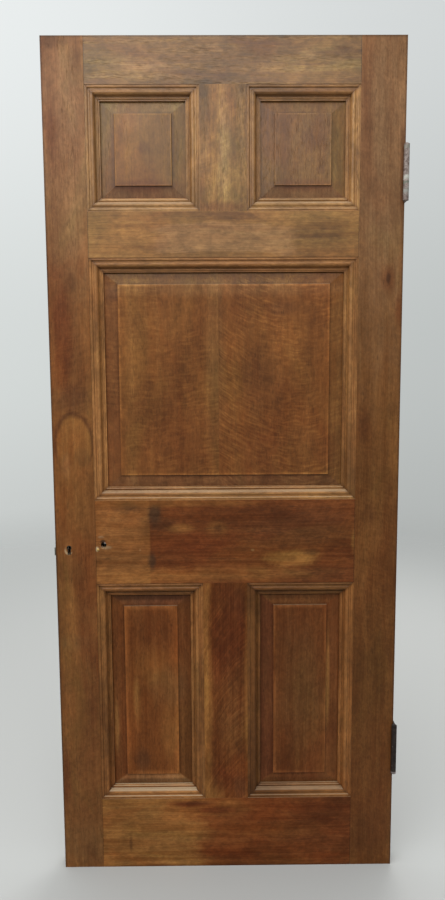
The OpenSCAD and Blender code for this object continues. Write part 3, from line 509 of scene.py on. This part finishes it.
hingeStile = {
    "grain": "z", "seed": 2.0, "tone": (0.176, 0.069, 0.0195), "gloss": 0.13, "uneven": 0.60,
    "spread": 0.70, "bloom": 0.5,
    "fleck": {"much": 0.10, "scale": 150.0, "tilt": -0.3, "bow": 0.0, "centre": 0.37},
    "stains": [
        stain("olive", 0.365, 1.700, 0.090, 0.450, 0.45, 0.9),
        stain("ash", 0.365, 1.800, 0.090, 0.400, 0.30, 0.8),
        stain("dark", 0.335, 1.820, 0.006, 0.150, 0.30),
        stain("red", 0.386, 1.487, 0.014, 0.032, 0.55),
        stain("sootAndShade", 0.386, 1.487, 0.006, 0.015, 0.75, 0.5),
        stain("red", 0.411, 1.410, 0.008, 0.034, 0.55),
        stain("dark", 0.370, 1.330, 0.090, 0.200, 0.22, 0.9),
        stain("plum", 0.331, 1.134, 0.013, 0.036, 0.45),
        stain("dark", 0.351, 0.923, 0.017, 0.024, 0.45),
        stain("dark", 0.402, 0.790, 0.020, 0.200, 0.35),
        stain("umber", 0.370, 0.300, 0.120, 0.640, 0.60, 0.7),
        stain("red", 0.380, 0.090, 0.050, 0.090, 0.25, 0.9),
        # painted shade along the arris of the leaf's side
        stain("sootAndShade", leafRight, leafMiddle, edgeShadeWidth, leafTop, 0.45, 0.8, True, 0.0),
        # painted shade between the stile and the upper hinge
        stain("plum", leafRight, 1.735, 0.010, 0.085, 0.80, 0.5, True, 0.0),
        # painted shade along the arris of the leaf's top
        stain("sootAndShade", 0.370, leafTop, 0.060, edgeShadeWidth, 0.50, 0.8, True, 0.0),
    ],
}
dress("lock_stile", oakFinish("oakLockStile", lockStile), "oak_frame")
dress("hinge_stile", oakFinish("oakHingeStile", hingeStile), "oak_frame")
print("stiles dressed")

# Rails

jointLine = {"half": 0.0014, "much": 0.60, "soft": 0.7}


def jointLines(low, high):
    # the dark lines where a rail meets the stiles
    line, middle, half = jointLine, (low + high) / 2, (high - low) / 2
    return [stain("sootAndShade", edge, middle, line["half"], half, line["much"], line["soft"], True, 0.0)
            for edge in (innerLeft, innerRight)]


topRail = {
    "grain": "x", "seed": 3.0, "tone": (0.190, 0.095, 0.030), "wave": 0.014, "gloss": 0.34,
    "spread": 1.25, "uneven": 1.25,
    "stains": [
        stain("smoke", -0.042, 1.926, 0.014, 0.011, 0.60),
        stain("plum", -0.010, 1.932, 0.022, 0.010, 0.35),
        stain("dark", 0.272, 2.004, 0.022, 0.004, 0.55),
        stain("pale", 0.195, 1.992, 0.026, 0.010, 0.35),
        stain("pale", -0.180, 1.965, 0.060, 0.012, 0.25),
        # painted shade along the arris of the leaf's top
        stain("sootAndShade", 0.0, leafTop, 0.500, edgeShadeWidth, 0.50, 0.8, True, 0.0),
        *jointLines(1.926, 2.032),
    ],
}
friezeRail = {
    "grain": "x", "seed": 4.0, "tone": (0.250, 0.114, 0.031), "wave": 0.010, "gloss": 0.28, "bloom": 0.45,
    "stains": [
        # painted shadow on the rail just below the upper muntin
        stain("dark", 0.013, 1.633, 0.078, 0.009, 0.60),
        stain("dark", 0.238, 1.580, 0.078, 0.044, 0.28, 0.8),
        stain("dark", 0.219, 1.586, 0.046, 0.004, 0.32),
        stain("dark", 0.250, 1.603, 0.030, 0.003, 0.25),
        stain("pale", 0.001, 1.582, 0.163, 0.033, 0.45, 0.10, True),
        stain("gold", -0.239, 1.590, 0.060, 0.030, 0.25),
        *jointLines(1.538, 1.643),
    ],
}
lockRail = {
    "grain": "x", "seed": 5.0, "tone": (0.137, 0.0388, 0.0103), "wave": 0.012, "gloss": 0.12,
    "fleck": {"much": 0.10, "scale": 150.0, "tilt": 0.5, "bow": 0.0, "centre": 0.85},
    "stains": [
        stain("gold", -0.2560, 0.855, 0.0680, 0.120, 0.46, 0.040, True, 0.0),
        stain("pale", -0.2560, 0.850, 0.0600, 0.090, 0.07, 0.3, True),
        stain("gold", -0.200, 0.770, 0.150, 0.018, 0.36, 0.7),
        stain("dark", -0.262, 0.945, 0.050, 0.012, 0.30),
        stain("smoke", -0.232, 0.944, 0.020, 0.009, 0.45),
        stain("smoke", -0.176, 0.922, 0.014, 0.024, 0.75),
        stain("dark", -0.158, 0.900, 0.030, 0.014, 0.55),
        stain("smoke", -0.184, 0.806, 0.009, 0.020, 0.75),
        stain("gold", -0.112, 0.889, 0.027, 0.010, 0.50),
        stain("gold", -0.023, 0.886, 0.023, 0.019, 0.35),
        stain("dark", -0.023, 0.886, 0.010, 0.008, 0.45),
        stain("dark", 0.171, 0.895, 0.140, 0.050, 0.60),
        stain("red", -0.060, 0.850, 0.080, 0.030, 0.50),
        stain("gold", 0.160, 0.812, 0.060, 0.020, 0.85, 0.45),
        stain("dark", 0.205, 0.828, 0.018, 0.007, 0.60),
        stain("dark", 0.223, 0.771, 0.090, 0.018, 0.45),
        stain("gold", -0.140, 0.952, 0.180, 0.009, 0.40),
        stain("gold", 0.000, 0.774, 0.200, 0.018, 0.30),
        stain("gold", 0.313, 0.851, 0.006, 0.024, 0.55),
        stain("chip", -0.3180, 0.8385, 0.0040, 0.0055, 0.90, 0.5, False, 0.0),
        stain("chip", -0.2960, 0.8425, 0.0120, 0.0040, 0.35, 0.6, False, 0.0),
        stain("chip", -0.3080, 0.8690, 0.0070, 0.0030, 0.25, 0.6, False, 0.0),
        stain("sootAndShade", -0.3040, 0.8570, 0.0060, 0.0045, 0.85, 0.6, False, 0.0),
        stain("pale", -0.213, 0.836, 0.0025, 0.0030, 0.60, 0.5, False, 0.0),
        stain("pale", 0.064, 0.834, 0.0040, 0.0030, 0.40, 0.5, False, 0.0),
        *jointLines(0.751, 0.959),
    ],
}
bottomRail = {
    "grain": "x", "seed": 6.0, "tone": (0.171, 0.0495, 0.0122), "wave": 0.008, "gloss": 0.10,
    "stains": [
        stain("gold", -0.215, 0.090, 0.135, 0.120, 1.00, 0.30, True),
        stain("pale", -0.215, 0.090, 0.130, 0.100, 0.05, 0.5),
        stain("plum", -0.250, 0.062, 0.004, 0.018, 0.60),
        stain("gold", -0.060, 0.165, 0.110, 0.022, 0.45),
        stain("red", -0.100, 0.170, 0.046, 0.008, 0.85),
        stain("dark", -0.075, 0.173, 0.036, 0.005, 0.45),
        stain("red", -0.030, 0.153, 0.046, 0.008, 0.80),
        stain("red", 0.232, 0.068, 0.054, 0.012, 0.45),
        stain("gold", 0.130, 0.102, 0.135, 0.020, 0.22),
        stain("dark", 0.270, 0.110, 0.110, 0.090, 0.45, 0.8),
        # painted shade along the bottom arris, where the leaf meets the floor
        stain("sootAndShade", 0.0, 0.0, 0.500, 0.0045, 0.45, 0.8, True, 0.0),
        *jointLines(0.0, 0.186),
    ],
}
for railName, rail in {
    "top_rail": topRail, "frieze_rail": friezeRail, "lock_rail": lockRail, "bottom_rail": bottomRail,
}.items():
    dress(railName, oakFinish(finishName(railName), rail), "oak_frame")
print("rails dressed")

# Muntins

upperMuntin = {
    "grain": "z", "seed": 7.0, "tone": (0.250, 0.118, 0.031), "gloss": 0.30, "uneven": 1.25,
    "fleck": {"much": 0.22, "scale": 160.0, "tilt": 0.4, "bow": 0.0, "centre": 0.0},
    "stains": [
        stain("pale", 0.000, 1.790, 0.015, 0.120, 0.45),
        stain("olive", -0.044, 1.800, 0.013, 0.110, 0.40),
        stain("red", -0.010, 1.652, 0.052, 0.013, 0.55),
        stain("smoke", -0.050, 1.915, 0.012, 0.022, 0.45),
        stain("smoke", 0.046, 1.917, 0.010, 0.016, 0.35),
    ],
}
lowerMuntin = {
    "grain": "z", "seed": 8.0, "tone": (0.128, 0.037, 0.0090), "gloss": 0.10,
    "fleck": {"much": 0.55, "scale": 150.0, "tilt": 1.10, "bow": -5.0, "centre": 0.02},
    "stains": [
        stain("gold", -0.056, 0.468, 0.013, 0.310, 0.75, 0.8, True, 2.4),
        stain("dark", 0.025, 0.700, 0.028, 0.045, 0.70),
        stain("red", 0.000, 0.620, 0.042, 0.120, 0.80),
        stain("olive", 0.020, 0.400, 0.045, 0.110, 0.25, 0.8),
        stain("gold", -0.040, 0.205, 0.026, 0.034, 0.55),
        stain("red", -0.005, 0.240, 0.036, 0.030, 0.50),
        stain("plum", 0.035, 0.215, 0.018, 0.030, 0.45),
        stain("gold", 0.050, 0.450, 0.006, 0.280, 0.30),
    ],
}
for muntinName, muntin in {"upper_muntin": upperMuntin, "lower_muntin": lowerMuntin}.items():
    dress(muntinName, oakFinish(finishName(muntinName), muntin), "oak_frame")
print("muntins dressed")

# Panels

fieldDepth = 0.0002  # corners this close to the foremost one belong to the raised field


def fieldOf(panelName):
    # the raised field is the foremost face of the panel
    corners = [corner.co for corner in nodes[panelName].data.vertices]
    foremost = min(corner.y for corner in corners)
    field = [corner for corner in corners if corner.y < foremost + fieldDepth]
    across, upward = [corner.x for corner in field], [corner.z for corner in field]
    return min(across), max(across), min(upward), max(upward)


topLeftPanel = {
    "seed": 9.0, "tone": (0.203, 0.093, 0.0215), "wave": 0.006, "gloss": 0.32, "spread": 0.7,
    "uneven": 0.7,
    # painted light, shade and reflection for each side of the bevelled margin
    "margins": {
        "left": (0.79, 0.80, 0.91), "right": (0.87, 0.88, 1.02),
        "top": (1.00, 1.16, 1.58), "bottom": (0.87, 0.94, 1.72),
    },
    "stains": [
        stain("dark", -0.189, 1.790, 0.013, 0.012, 0.40),
        stain("red", -0.190, 1.704, 0.080, 0.012, 0.40),
        stain("pale", -0.215, 1.850, 0.030, 0.020, 0.20),
    ],
}
topRightPanel = {
    "seed": 10.0, "tone": (0.172, 0.079, 0.021), "wave": 0.006, "gloss": 0.32, "spread": 0.7,
    "uneven": 0.7,
    # painted light, shade and reflection for each side of the bevelled margin
    "margins": {
        "left": (1.00, 0.98, 0.81), "right": (1.12, 1.31, 1.47),
        "top": (1.12, 1.16, 1.13), "bottom": (1.00, 1.03, 1.51),
    },
    "stains": [
        stain("dark", 0.200, 1.800, 0.020, 0.020, 0.25),
        stain("red", 0.185, 1.704, 0.080, 0.012, 0.40),
        stain("plum", 0.225, 1.740, 0.010, 0.010, 0.40),
    ],
}
middlePanel = {
    "seed": 11.0, "tone": (0.176, 0.062, 0.0150), "joint": -0.017, "gloss": 0.18, "spread": 0.45,
    "uneven": 0.75, "rubAndHighlight": 1.0, "rubAndHighlightWidth": 0.0075, "bloom": 0.5, "mouldingShade": 0.2,
    # painted light, shade and reflection for each side of the bevelled margin
    "margins": {
        "left": (0.95, 0.99, 1.18), "right": (1.02, 1.18, 1.32),
        "top": (0.98, 1.13, 1.11), "bottom": (1.06, 1.19, 1.72),
    },
    "fleck": {"much": 0.50, "scale": 160.0, "tilt": 0.06, "bow": 0.4, "centre": -0.15},
    "secondFleck": {"much": 0.70, "scale": 160.0, "tilt": 0.0, "bow": 1.9, "centre": 0.175},
    "stains": [
        stain("gold", -0.229, 1.245, 0.022, 0.230, 0.52),
        stain("olive", -0.026, 1.300, 0.018, 0.190, 0.42, 0.8),
        stain("plum", -0.268, 1.456, 0.016, 0.016, 0.50),
        stain("plum", 0.136, 1.420, 0.032, 0.016, 0.40),
        stain("gold", 0.154, 1.345, 0.034, 0.058, 0.45),
        stain("dark", 0.180, 1.400, 0.110, 0.070, 0.12, 0.8),
        stain("dark", 0.094, 1.241, 0.052, 0.078, 0.35),
        stain("red", 0.148, 1.075, 0.110, 0.060, 0.42, 0.8),
        stain("red", -0.150, 1.120, 0.120, 0.090, 0.34, 0.8),
        stain("gold", 0.190, 1.120, 0.040, 0.060, 0.16, 0.8),
        stain("umber", -0.085, 1.330, 0.030, 0.110, 0.28, 0.8),
        stain("gold", -0.150, 1.380, 0.050, 0.050, 0.22, 0.8),
        stain("pale", 0.000, 1.468, 0.260, 0.016, 0.25, 0.8),
    ],
}
lowerLeftPanel = {
    "seed": 12.0, "tone": (0.174, 0.0535, 0.0130), "gloss": 0.10, "spread": 0.7,
    "rubAndHighlight": 1.0, "rubAndHighlightWidth": 0.015, "uneven": 0.7, "bloom": 0.5, "mouldingShade": 0.8,
    # painted light, shade and reflection for each side of the bevelled margin
    "margins": {
        "left": (0.89, 0.92, 1.01), "right": (0.81, 0.89, 1.03),
        "top": (0.97, 1.02, 1.35), "bottom": (2.05, 2.85, 4.30),
    },
    "stains": [
        stain("dark", -0.178, 0.630, 0.060, 0.060, 0.35),
        stain("gold", -0.229, 0.449, 0.009, 0.054, 0.65),
        stain("gold", -0.190, 0.540, 0.045, 0.050, 0.25),
        stain("olive", -0.150, 0.480, 0.040, 0.050, 0.40),
        stain("gold", -0.282, 0.370, 0.006, 0.060, 0.80, 0.6, False, 0.0),
        stain("plum", -0.215, 0.285, 0.019, 0.027, 0.55),
        stain("gold", -0.150, 0.360, 0.020, 0.060, 0.30),
        stain("plum", -0.180, 0.706, 0.090, 0.014, 0.50),
    ],
}
lowerRightPanel = {
    "seed": 13.0, "tone": (0.126, 0.0390, 0.0106), "gloss": 0.10, "spread": 0.7,
    "rubAndHighlight": 0.95, "rubAndHighlightWidth": 0.011, "uneven": 0.7, "bloom": 0.5, "mouldingShade": 0.35,
    # painted light, shade and reflection for each side of the bevelled margin
    "margins": {
        "left": (0.85, 0.82, 1.02), "right": (1.20, 1.26, 1.37),
        "top": (1.07, 1.26, 1.43), "bottom": (1.28, 1.47, 1.65),
    },
    "fleck": {"much": 0.15, "scale": 170.0, "tilt": 0.5, "bow": 0.0, "centre": 0.18},
    "stains": [
        stain("olive", 0.185, 0.467, 0.052, 0.130, 0.35),
        stain("gold", 0.254, 0.504, 0.005, 0.105, 0.65, 0.6, False, 0.0),
        stain("dark", 0.170, 0.620, 0.040, 0.050, 0.30),
        stain("red", 0.185, 0.235, 0.070, 0.014, 0.45),
    ],
}
for panelName, panel in {
    "top_left_panel": topLeftPanel, "top_right_panel": topRightPanel, "middle_panel": middlePanel,
    "lower_left_panel": lowerLeftPanel, "lower_right_panel": lowerRightPanel,
}.items():
    panel = {"grain": "z", "field": fieldOf(panelName), **panel}
    dress(panelName, oakFinish(finishName(panelName), panel), "oak_panel")
print("panels dressed")

# Mouldings

mouldings = {  # each of the four sides is painted lighter or darker, from 1.0, as painted light and shade
    # painted light: in the upper openings the recess tone is paler than the wood, so their grooves are
    # painted lighter
    "top_left": {
        "tone": (0.244, 0.116, 0.037), "gloss": 0.32, "recessShading": 0.60, "recessShadingTone": (0.40, 0.23, 0.11),
        "dust": 1.3,
        "sides": {"bottom": 1.08, "right": 0.98, "top": 1.10, "left": 0.95},
    },
    "top_right": {
        "tone": (0.232, 0.108, 0.033), "gloss": 0.32, "recessShading": 0.55, "recessShadingTone": (0.34, 0.18, 0.08),
        "dust": 1.3,
        "sides": {"bottom": 1.25, "right": 1.32, "top": 0.92, "left": 0.86},
    },
    "middle": {
        "tone": (0.232, 0.098, 0.029), "gloss": 0.24, "recessShading": 0.40, "recessShadingTone": (0.22, 0.10, 0.035),
        "dust": 1.0,
        "sides": {"bottom": 1.10, "right": 1.0, "top": 1.05, "left": 1.06},
    },
    "lower_left": {
        "tone": (0.199, 0.078, 0.0215), "gloss": 0.17, "recessShading": 0.35, "recessShadingTone": (0.04, 0.018, 0.009),
        "dust": 1.25,
        "sides": {"bottom": 1.20, "right": 1.0, "top": 0.98, "left": 0.90},
    },
    "lower_right": {
        "tone": (0.182, 0.069, 0.0185), "gloss": 0.17, "recessShading": 0.35, "recessShadingTone": (0.04, 0.018, 0.009),
        "dust": 0.7,
        "sides": {"bottom": 0.92, "right": 1.36, "top": 0.82, "left": 0.77},
    },
}
mouldingSides = {  # crest: how far the forward crests are painted pale, as rubbed wear and painted highlight
    "bottom": {"grain": "x", "crestWearAndHighlight": 0.9, "dust": 1.0},
    "right": {"grain": "z", "crestWearAndHighlight": 0.7, "dust": 1.0},
    "top": {"grain": "x", "crestWearAndHighlight": 0.0, "dust": 0.2},
    "left": {"grain": "z", "crestWearAndHighlight": 0.6, "dust": 1.0},
}
plainMoulding = {"recessShadingReach": 0.009, "bloom": 0.35, "endDark": 0.0, "spread": 0.8}
mouldingSeed = 20.0
for opening, look in mouldings.items():
    for side, lie in mouldingSides.items():
        mouldingSeed += 1
        mouldingName = opening + "_moulding_" + side
        moulding = {
            **plainMoulding, **look, **lie, "side": side, "seed": mouldingSeed, "box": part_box(mouldingName),
            "dust": look["dust"] * lie["dust"],
            "tone": [part * look["sides"][side] for part in look["tone"]],
        }
        dress(mouldingName, oakFinish(finishName(mouldingName), moulding), "oak_moulding")
print("mouldings dressed")

wedge = {"grain": "x", "seed": 50.0, "tone": (0.230, 0.105, 0.036), "gloss": 0.20, "endDark": 0.3}
wedgeOak = oakFinish("oakWedges", wedge)
for wedgeName in ("lock_stile_wedges", "hinge_stile_wedges"):
    dress(wedgeName, wedgeOak, "oak_wedge")
print("wedges dressed")

# Iron, brass and steel

metalHabit = {
    "cloudDetail": (4.0, 0.6), "cloudRange": (0.38, 0.62),
    "speckDetail": (3.0, 0.6), "rustRange": (0.52, 0.66),
    "paintDetail": (4.0, 0.65), "paintFrom": 0.56, "paintTo": 0.66, "paintCover": 0.9,
    "markRagged": 2.5, "markMuch": 0.85,
    "dullRange": (0.3, 0.7), "dullSpread": 0.18,
    "bumpMuch": 0.4, "bumpDepth": 0.0003,
}


def metalFinish(name, metal):
    habit = metalHabit
    finish, tree = newFinish(name)
    place = lay(tree, "TexCoord").outputs["Object"]
    cloud = mottle(tree, place, metal["cloudScale"], *habit["cloudDetail"])
    speck = mottle(tree, place, metal["speckScale"], *habit["speckDetail"])
    tone = tint(tree, ease(tree, cloud, *habit["cloudRange"]), metal["dark"], metal["bright"])
    tone = tint(tree, ease(tree, speck, *habit["rustRange"], 0.0, metal["rustMuch"]), tone, metal["rust"])
    if "paint" in metal:
        paintFrom, paintTo = (habit[key] - metal["paintMuch"] for key in ("paintFrom", "paintTo"))
        left = mottle(tree, place, metal["paintScale"], *habit["paintDetail"])
        left = ease(tree, left, paintFrom, paintTo, 0.0, habit["paintCover"])
        tone = tint(tree, left, tone, metal["paint"])
    height = lay(tree, "SeparateXYZ", {0: place}).outputs[2]
    for mark in metal.get("marks", ()):
        away = calc(tree, "ABSOLUTE", calc(tree, "SUBTRACT", height, mark["z"]))
        ragged = mark["half"] * habit["markRagged"]
        away = calc(tree, "MULTIPLY_ADD", calc(tree, "SUBTRACT", cloud, 0.5), ragged, away)
        tone = tint(tree, ease(tree, away, mark["half"], 0.0, 0.0, habit["markMuch"]), tone, mark["tone"])
    dull = ease(tree, cloud, *habit["dullRange"], metal["dull"] + habit["dullSpread"], metal["dull"])
    bump = lay(tree, "Bump", {"Strength": habit["bumpMuch"], "Distance": habit["bumpDepth"], "Height": speck})
    closeFinish(tree, metal["bright"], {
        "Base Color": tone,
        "Metallic": metal["metallic"],
        "Specular IOR Level": metal["gloss"],
        "Roughness": dull,
        "Normal": bump.outputs[0],
    })
    return finish


lowerHingeIron = {
    "dark": (0.010, 0.007, 0.006), "bright": (0.034, 0.025, 0.021), "rust": (0.060, 0.024, 0.013),
    "rustMuch": 0.6, "cloudScale": 60.0, "speckScale": 420.0, "dull": 0.52, "metallic": 0.3, "gloss": 0.3,
    "paint": (0.30, 0.24, 0.20), "paintScale": 70.0, "paintMuch": -0.06,
    "marks": [{"z": 0.257, "half": 0.004, "tone": (0.34, 0.28, 0.27)}],
}
upperHingeIron = {
    **lowerHingeIron,
    "dark": (0.13, 0.095, 0.085), "bright": (0.21, 0.165, 0.145), "rust": (0.17, 0.10, 0.08),
    "cloudScale": 110.0, "metallic": 0.0,
    "paint": (0.33, 0.27, 0.245), "paintScale": 130.0, "paintMuch": 0.08,
    "marks": [
        {"z": 1.784, "half": 0.007, "tone": (0.20, 0.20, 0.16)},
        {"z": 1.716, "half": 0.009, "tone": (0.56, 0.56, 0.50)},
        {"z": 1.704, "half": 0.005, "tone": (0.15, 0.17, 0.13)},
        {"z": 1.685, "half": 0.012, "tone": (0.31, 0.31, 0.28)},
    ],
}
screwSteel = {
    "dark": (0.10, 0.09, 0.08), "bright": (0.26, 0.25, 0.23), "rust": (0.10, 0.045, 0.022),
    "rustMuch": 0.7, "cloudScale": 80.0, "speckScale": 500.0, "dull": 0.42, "metallic": 0.9, "gloss": 0.5,
}
lockBrass = {
    "dark": (0.16, 0.10, 0.04), "bright": (0.52, 0.36, 0.13), "rust": (0.07, 0.06, 0.03),
    "rustMuch": 0.6, "cloudScale": 70.0, "speckScale": 500.0, "dull": 0.32, "metallic": 1.0, "gloss": 0.5,
}
brightBrass = {
    **lockBrass, "dark": (0.48, 0.30, 0.09), "bright": (0.80, 0.57, 0.23), "rustMuch": 0.2, "metallic": 0.7,
}
latchBrass = {
    **lockBrass, "dark": (0.10, 0.11, 0.09), "bright": (0.24, 0.26, 0.22), "metallic": 0.5, "dull": 0.4,
}
# brass painted near black, so that the follower and keyhole lining read as painted shade inside their holes
holeShadeBrass = {
    **lockBrass, "dark": (0.014, 0.011, 0.008), "bright": (0.040, 0.032, 0.022), "metallic": 0.2,
    "dull": 0.65, "gloss": 0.15,
}
# dark steel, kept near black so that the lock case seen through the spindle hole reads as painted shade
lockSteel = {
    "dark": (0.030, 0.026, 0.022), "bright": (0.090, 0.082, 0.074), "rust": (0.060, 0.028, 0.015),
    "rustMuch": 0.6, "cloudScale": 60.0, "speckScale": 450.0, "dull": 0.55, "metallic": 0.4, "gloss": 0.2,
}
screwFinish = metalFinish("hingeScrews", screwSteel)
for which, iron in {"upper": upperHingeIron, "lower": lowerHingeIron}.items():
    ironFinish = metalFinish(which + "HingeIron", iron)
    for part in ("door_leaf", "jamb_leaf", "pin"):
        dress(which + "_" + part, ironFinish, "hinge_iron")
    dress(which + "_hinge_screws", screwFinish, "screw_steel")
brassFinish = metalFinish("lockBrass", lockBrass)
for brassName in ("forend", "forend_screws", "dead_bolt"):
    dress(brassName, brassFinish, "lock_brass")
dress("rose_screw", metalFinish("rubbedBrass", brightBrass), "lock_brass")
dress("latch_bolt", metalFinish("latchBrass", latchBrass), "lock_brass")
holeShadeFinish = metalFinish("holeShadeBrass", holeShadeBrass)
for holeShadeName in ("follower", "keyhole_lining"):
    dress(holeShadeName, holeShadeFinish, "lock_brass")
steelFinish = metalFinish("lockSteel", lockSteel)
for steelName in ("lock_case", "lock_cap", "cap_screws", "bow_spring"):
    dress(steelName, steelFinish, "lock_steel")
print("hinges and lock dressed")

# Latch spring: wound wire with closed end turns

latchSpring = {
    "turns": 7, "wire": 0.001, "turnSteps": 28, "wirePoints": 12,
    "closedPitch": 1.08, "room": 0.0002,  # pitch of the end turns in wires, room left when pressed
}


def springMesh(low, high):
    wireRadius = latchSpring["wire"] / 2
    coilRadius = (high.y - low.y) / 2 - wireRadius
    middleY, middleZ = (low.y + high.y) / 2, (low.z + high.z) / 2
    turns, turnSteps, wirePoints = latchSpring["turns"], latchSpring["turnSteps"], latchSpring["wirePoints"]
    closed = latchSpring["wire"] * latchSpring["closedPitch"]
    length = high.x - low.x - latchSpring["wire"]
    openPitch = (length - 2 * closed) / (turns - 2)

    def along(turn):
        # the first and last turn lie close, the turns between them share what is left
        endTurns = min(turn, 1.0) + max(turn - turns + 1, 0.0)
        openTurns = min(max(turn - 1.0, 0.0), turns - 2)
        return closed * endTurns + openPitch * openTurns

    points, faces = [], []
    for step in range(turns * turnSteps + 1):
        angle = 2 * math.pi * step / turnSteps
        for spoke in range(wirePoints):
            around = 2 * math.pi * spoke / wirePoints
            reach = coilRadius + wireRadius * math.cos(around)
            points.append((low.x + wireRadius + along(step / turnSteps) + wireRadius * math.sin(around),
                           middleY + reach * math.cos(angle), middleZ + reach * math.sin(angle)))
    for step in range(turns * turnSteps):
        for spoke in range(wirePoints):
            here, beside = step * wirePoints + spoke, step * wirePoints + (spoke + 1) % wirePoints
            faces.append((here, here + wirePoints, beside + wirePoints, beside))
    faces.append(tuple(range(wirePoints)))
    faces.append(tuple(range(len(points) - 1, len(points) - wirePoints - 1, -1)))
    mesh = bpy.data.meshes.new("latchSpring")
    mesh.from_pydata(points, [], faces)
    mesh.polygons.foreach_set("use_smooth", [len(face.vertices) == 4 for face in mesh.polygons])
    mesh.materials.append(steelFinish)
    return mesh


def windSpring():
    low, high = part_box("latch_spring")
    spring = bpy.data.objects.new("latch_spring_coil", springMesh(low, high))
    bpy.context.scene.collection.objects.link(spring)
    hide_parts("latch_spring")
    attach(spring, "door")
    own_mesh(spring)


windSpring()
print("latch spring wound")

# Floor, light and camera

floorLook = {"tone": (0.43, 0.43, 0.42), "bounce": 0.75, "radius": 9.0, "clearFrom": 1.6, "clearTo": 5.5}


def seenRays(tree):
    # 1 for what the eye, a shine or a clear part sees, 0 for the light that matt surfaces gather
    ray = lay(tree, "LightPath").outputs
    mirrored = calc(tree, "MAXIMUM", ray["Is Glossy Ray"], ray["Is Transmission Ray"])
    return calc(tree, "MAXIMUM", ray["Is Camera Ray"], mirrored)


def layFloor():
    size = floorLook["radius"]
    mesh = bpy.data.meshes.new("floor")
    corners = [(-size, -size, 0), (size, -size, 0), (size, size, 0), (-size, size, 0)]
    mesh.from_pydata(corners, [], [(0, 1, 2, 3)])
    floor = bpy.data.objects.new("floor", mesh)
    bpy.context.scene.collection.objects.link(floor)
    finish, tree = newFinish("paleFloor")
    place = lay(tree, "TexCoord").outputs["Object"]
    away = lay(tree, "VectorMath", {0: place}, operation="LENGTH").outputs["Value"]
    clear = ease(tree, away, floorLook["clearFrom"], floorLook["clearTo"])
    shown = ease(tree, seenRays(tree), 0.0, 1.0, floorLook["bounce"], 1.0)
    matt = lay(tree, "BsdfDiffuse", {"Color": dim(tree, joined(tree, *floorLook["tone"]), shown)})
    gone = lay(tree, "BsdfTransparent")
    mix = lay(tree, "MixShader", {0: clear, 1: matt.outputs[0], 2: gone.outputs[0]})
    lay(tree, "OutputMaterial", {"Surface": mix.outputs[0]})
    mesh.materials.append(finish)


skyLook = {
    "high": (0.76, 0.79, 0.79), "level": (0.60, 0.63, 0.62), "low": (0.50, 0.52, 0.51),
    "lowToLevel": (-0.30, 0.05), "levelToHigh": (0.0, 0.5),
    "left": 1.10, "right": 0.86, "leftToRight": (-0.35, 0.35),  # the window side is brighter
    "ambientLevel": 0.34, "ambientHigh": 1.55, "ambientRise": (0.1, 0.9),  # light on matt surfaces
}


def setSky():
    world = bpy.data.worlds.new("softRoom")
    bpy.context.scene.world = world
    world.use_nodes = True
    tree = world.node_tree
    tree.nodes.clear()
    aim = lay(tree, "TexCoord").outputs["Generated"]
    aims = lay(tree, "SeparateXYZ", {0: aim}).outputs
    aside, up = aims[0], aims[2]
    colour = tint(tree, ease(tree, up, *skyLook["lowToLevel"]), skyLook["low"], skyLook["level"])
    colour = tint(tree, ease(tree, up, *skyLook["levelToHigh"]), colour, skyLook["high"])
    colour = dim(tree, colour, ease(tree, aside, *skyLook["leftToRight"], skyLook["left"], skyLook["right"]))
    ambient = ease(tree, up, *skyLook["ambientRise"], skyLook["ambientLevel"], skyLook["ambientHigh"])
    strength = ease(tree, seenRays(tree), 0.0, 1.0, ambient, 1.0)
    sky = lay(tree, "Background", {"Color": colour, "Strength": strength})
    lay(tree, "OutputWorld", {"Surface": sky.outputs[0]})


lamps = {
    "keySoftbox": {"at": (-0.6, -2.0, 2.75), "aim": (0.0, 0.0, 1.0), "size": (2.8, 1.0), "power": 36.8},
    "ceilingSoftbox": {"at": (-0.5, -0.9, 3.3), "aim": (-0.4, -0.5, 0.0), "size": (2.4, 1.4), "power": 18.0},
    "backSoftbox": {"at": (0.8, 2.4, 2.6), "aim": (0.0, 0.0, 1.0), "size": (1.8, 1.2), "power": 44.0},
}


def setLamps():
    for lampName, lamp in lamps.items():
        light = bpy.data.lights.new(lampName, "AREA")
        light.shape = "RECTANGLE"
        light.size, light.size_y = lamp["size"]
        light.energy = lamp["power"]
        thing = bpy.data.objects.new(lampName, light)
        bpy.context.scene.collection.objects.link(thing)
        thing.location = lamp["at"]
        thing.rotation_euler = (Vector(lamp["aim"]) - Vector(lamp["at"])).to_track_quat("-Z", "Y").to_euler()
        thing.visible_camera = False


photoView = {
    "at": (-0.0208, -1.6517, 1.2522), "yaw": 0.422, "pitch": -5.971, "roll": -0.314,
    "lens": 27.04, "sensor": 36.0,  # on the long side of the picture
}


def setCamera():
    yaw, pitch, roll = (math.radians(photoView[key]) for key in ("yaw", "pitch", "roll"))
    ahead = Vector((math.sin(yaw) * math.cos(pitch), math.cos(yaw) * math.cos(pitch), math.sin(pitch)))
    right = Vector((math.cos(yaw), -math.sin(yaw), 0.0))
    up = right.cross(ahead)
    right, up = right * math.cos(roll) + up * math.sin(roll), up * math.cos(roll) - right * math.sin(roll)
    data = bpy.data.cameras.new("photoCamera")
    data.sensor_width = photoView["sensor"]
    data.lens = photoView["lens"]
    camera = bpy.data.objects.new("photoCamera", data)
    bpy.context.scene.collection.objects.link(camera)
    turned = Matrix((right, up, -ahead)).transposed().to_4x4()
    camera.matrix_world = Matrix.Translation(photoView["at"]) @ turned
    bpy.context.scene.camera = camera


layFloor()
setSky()
setLamps()
setCamera()
bpy.context.scene.view_settings.view_transform = "Standard"
print("floor, light and camera set")
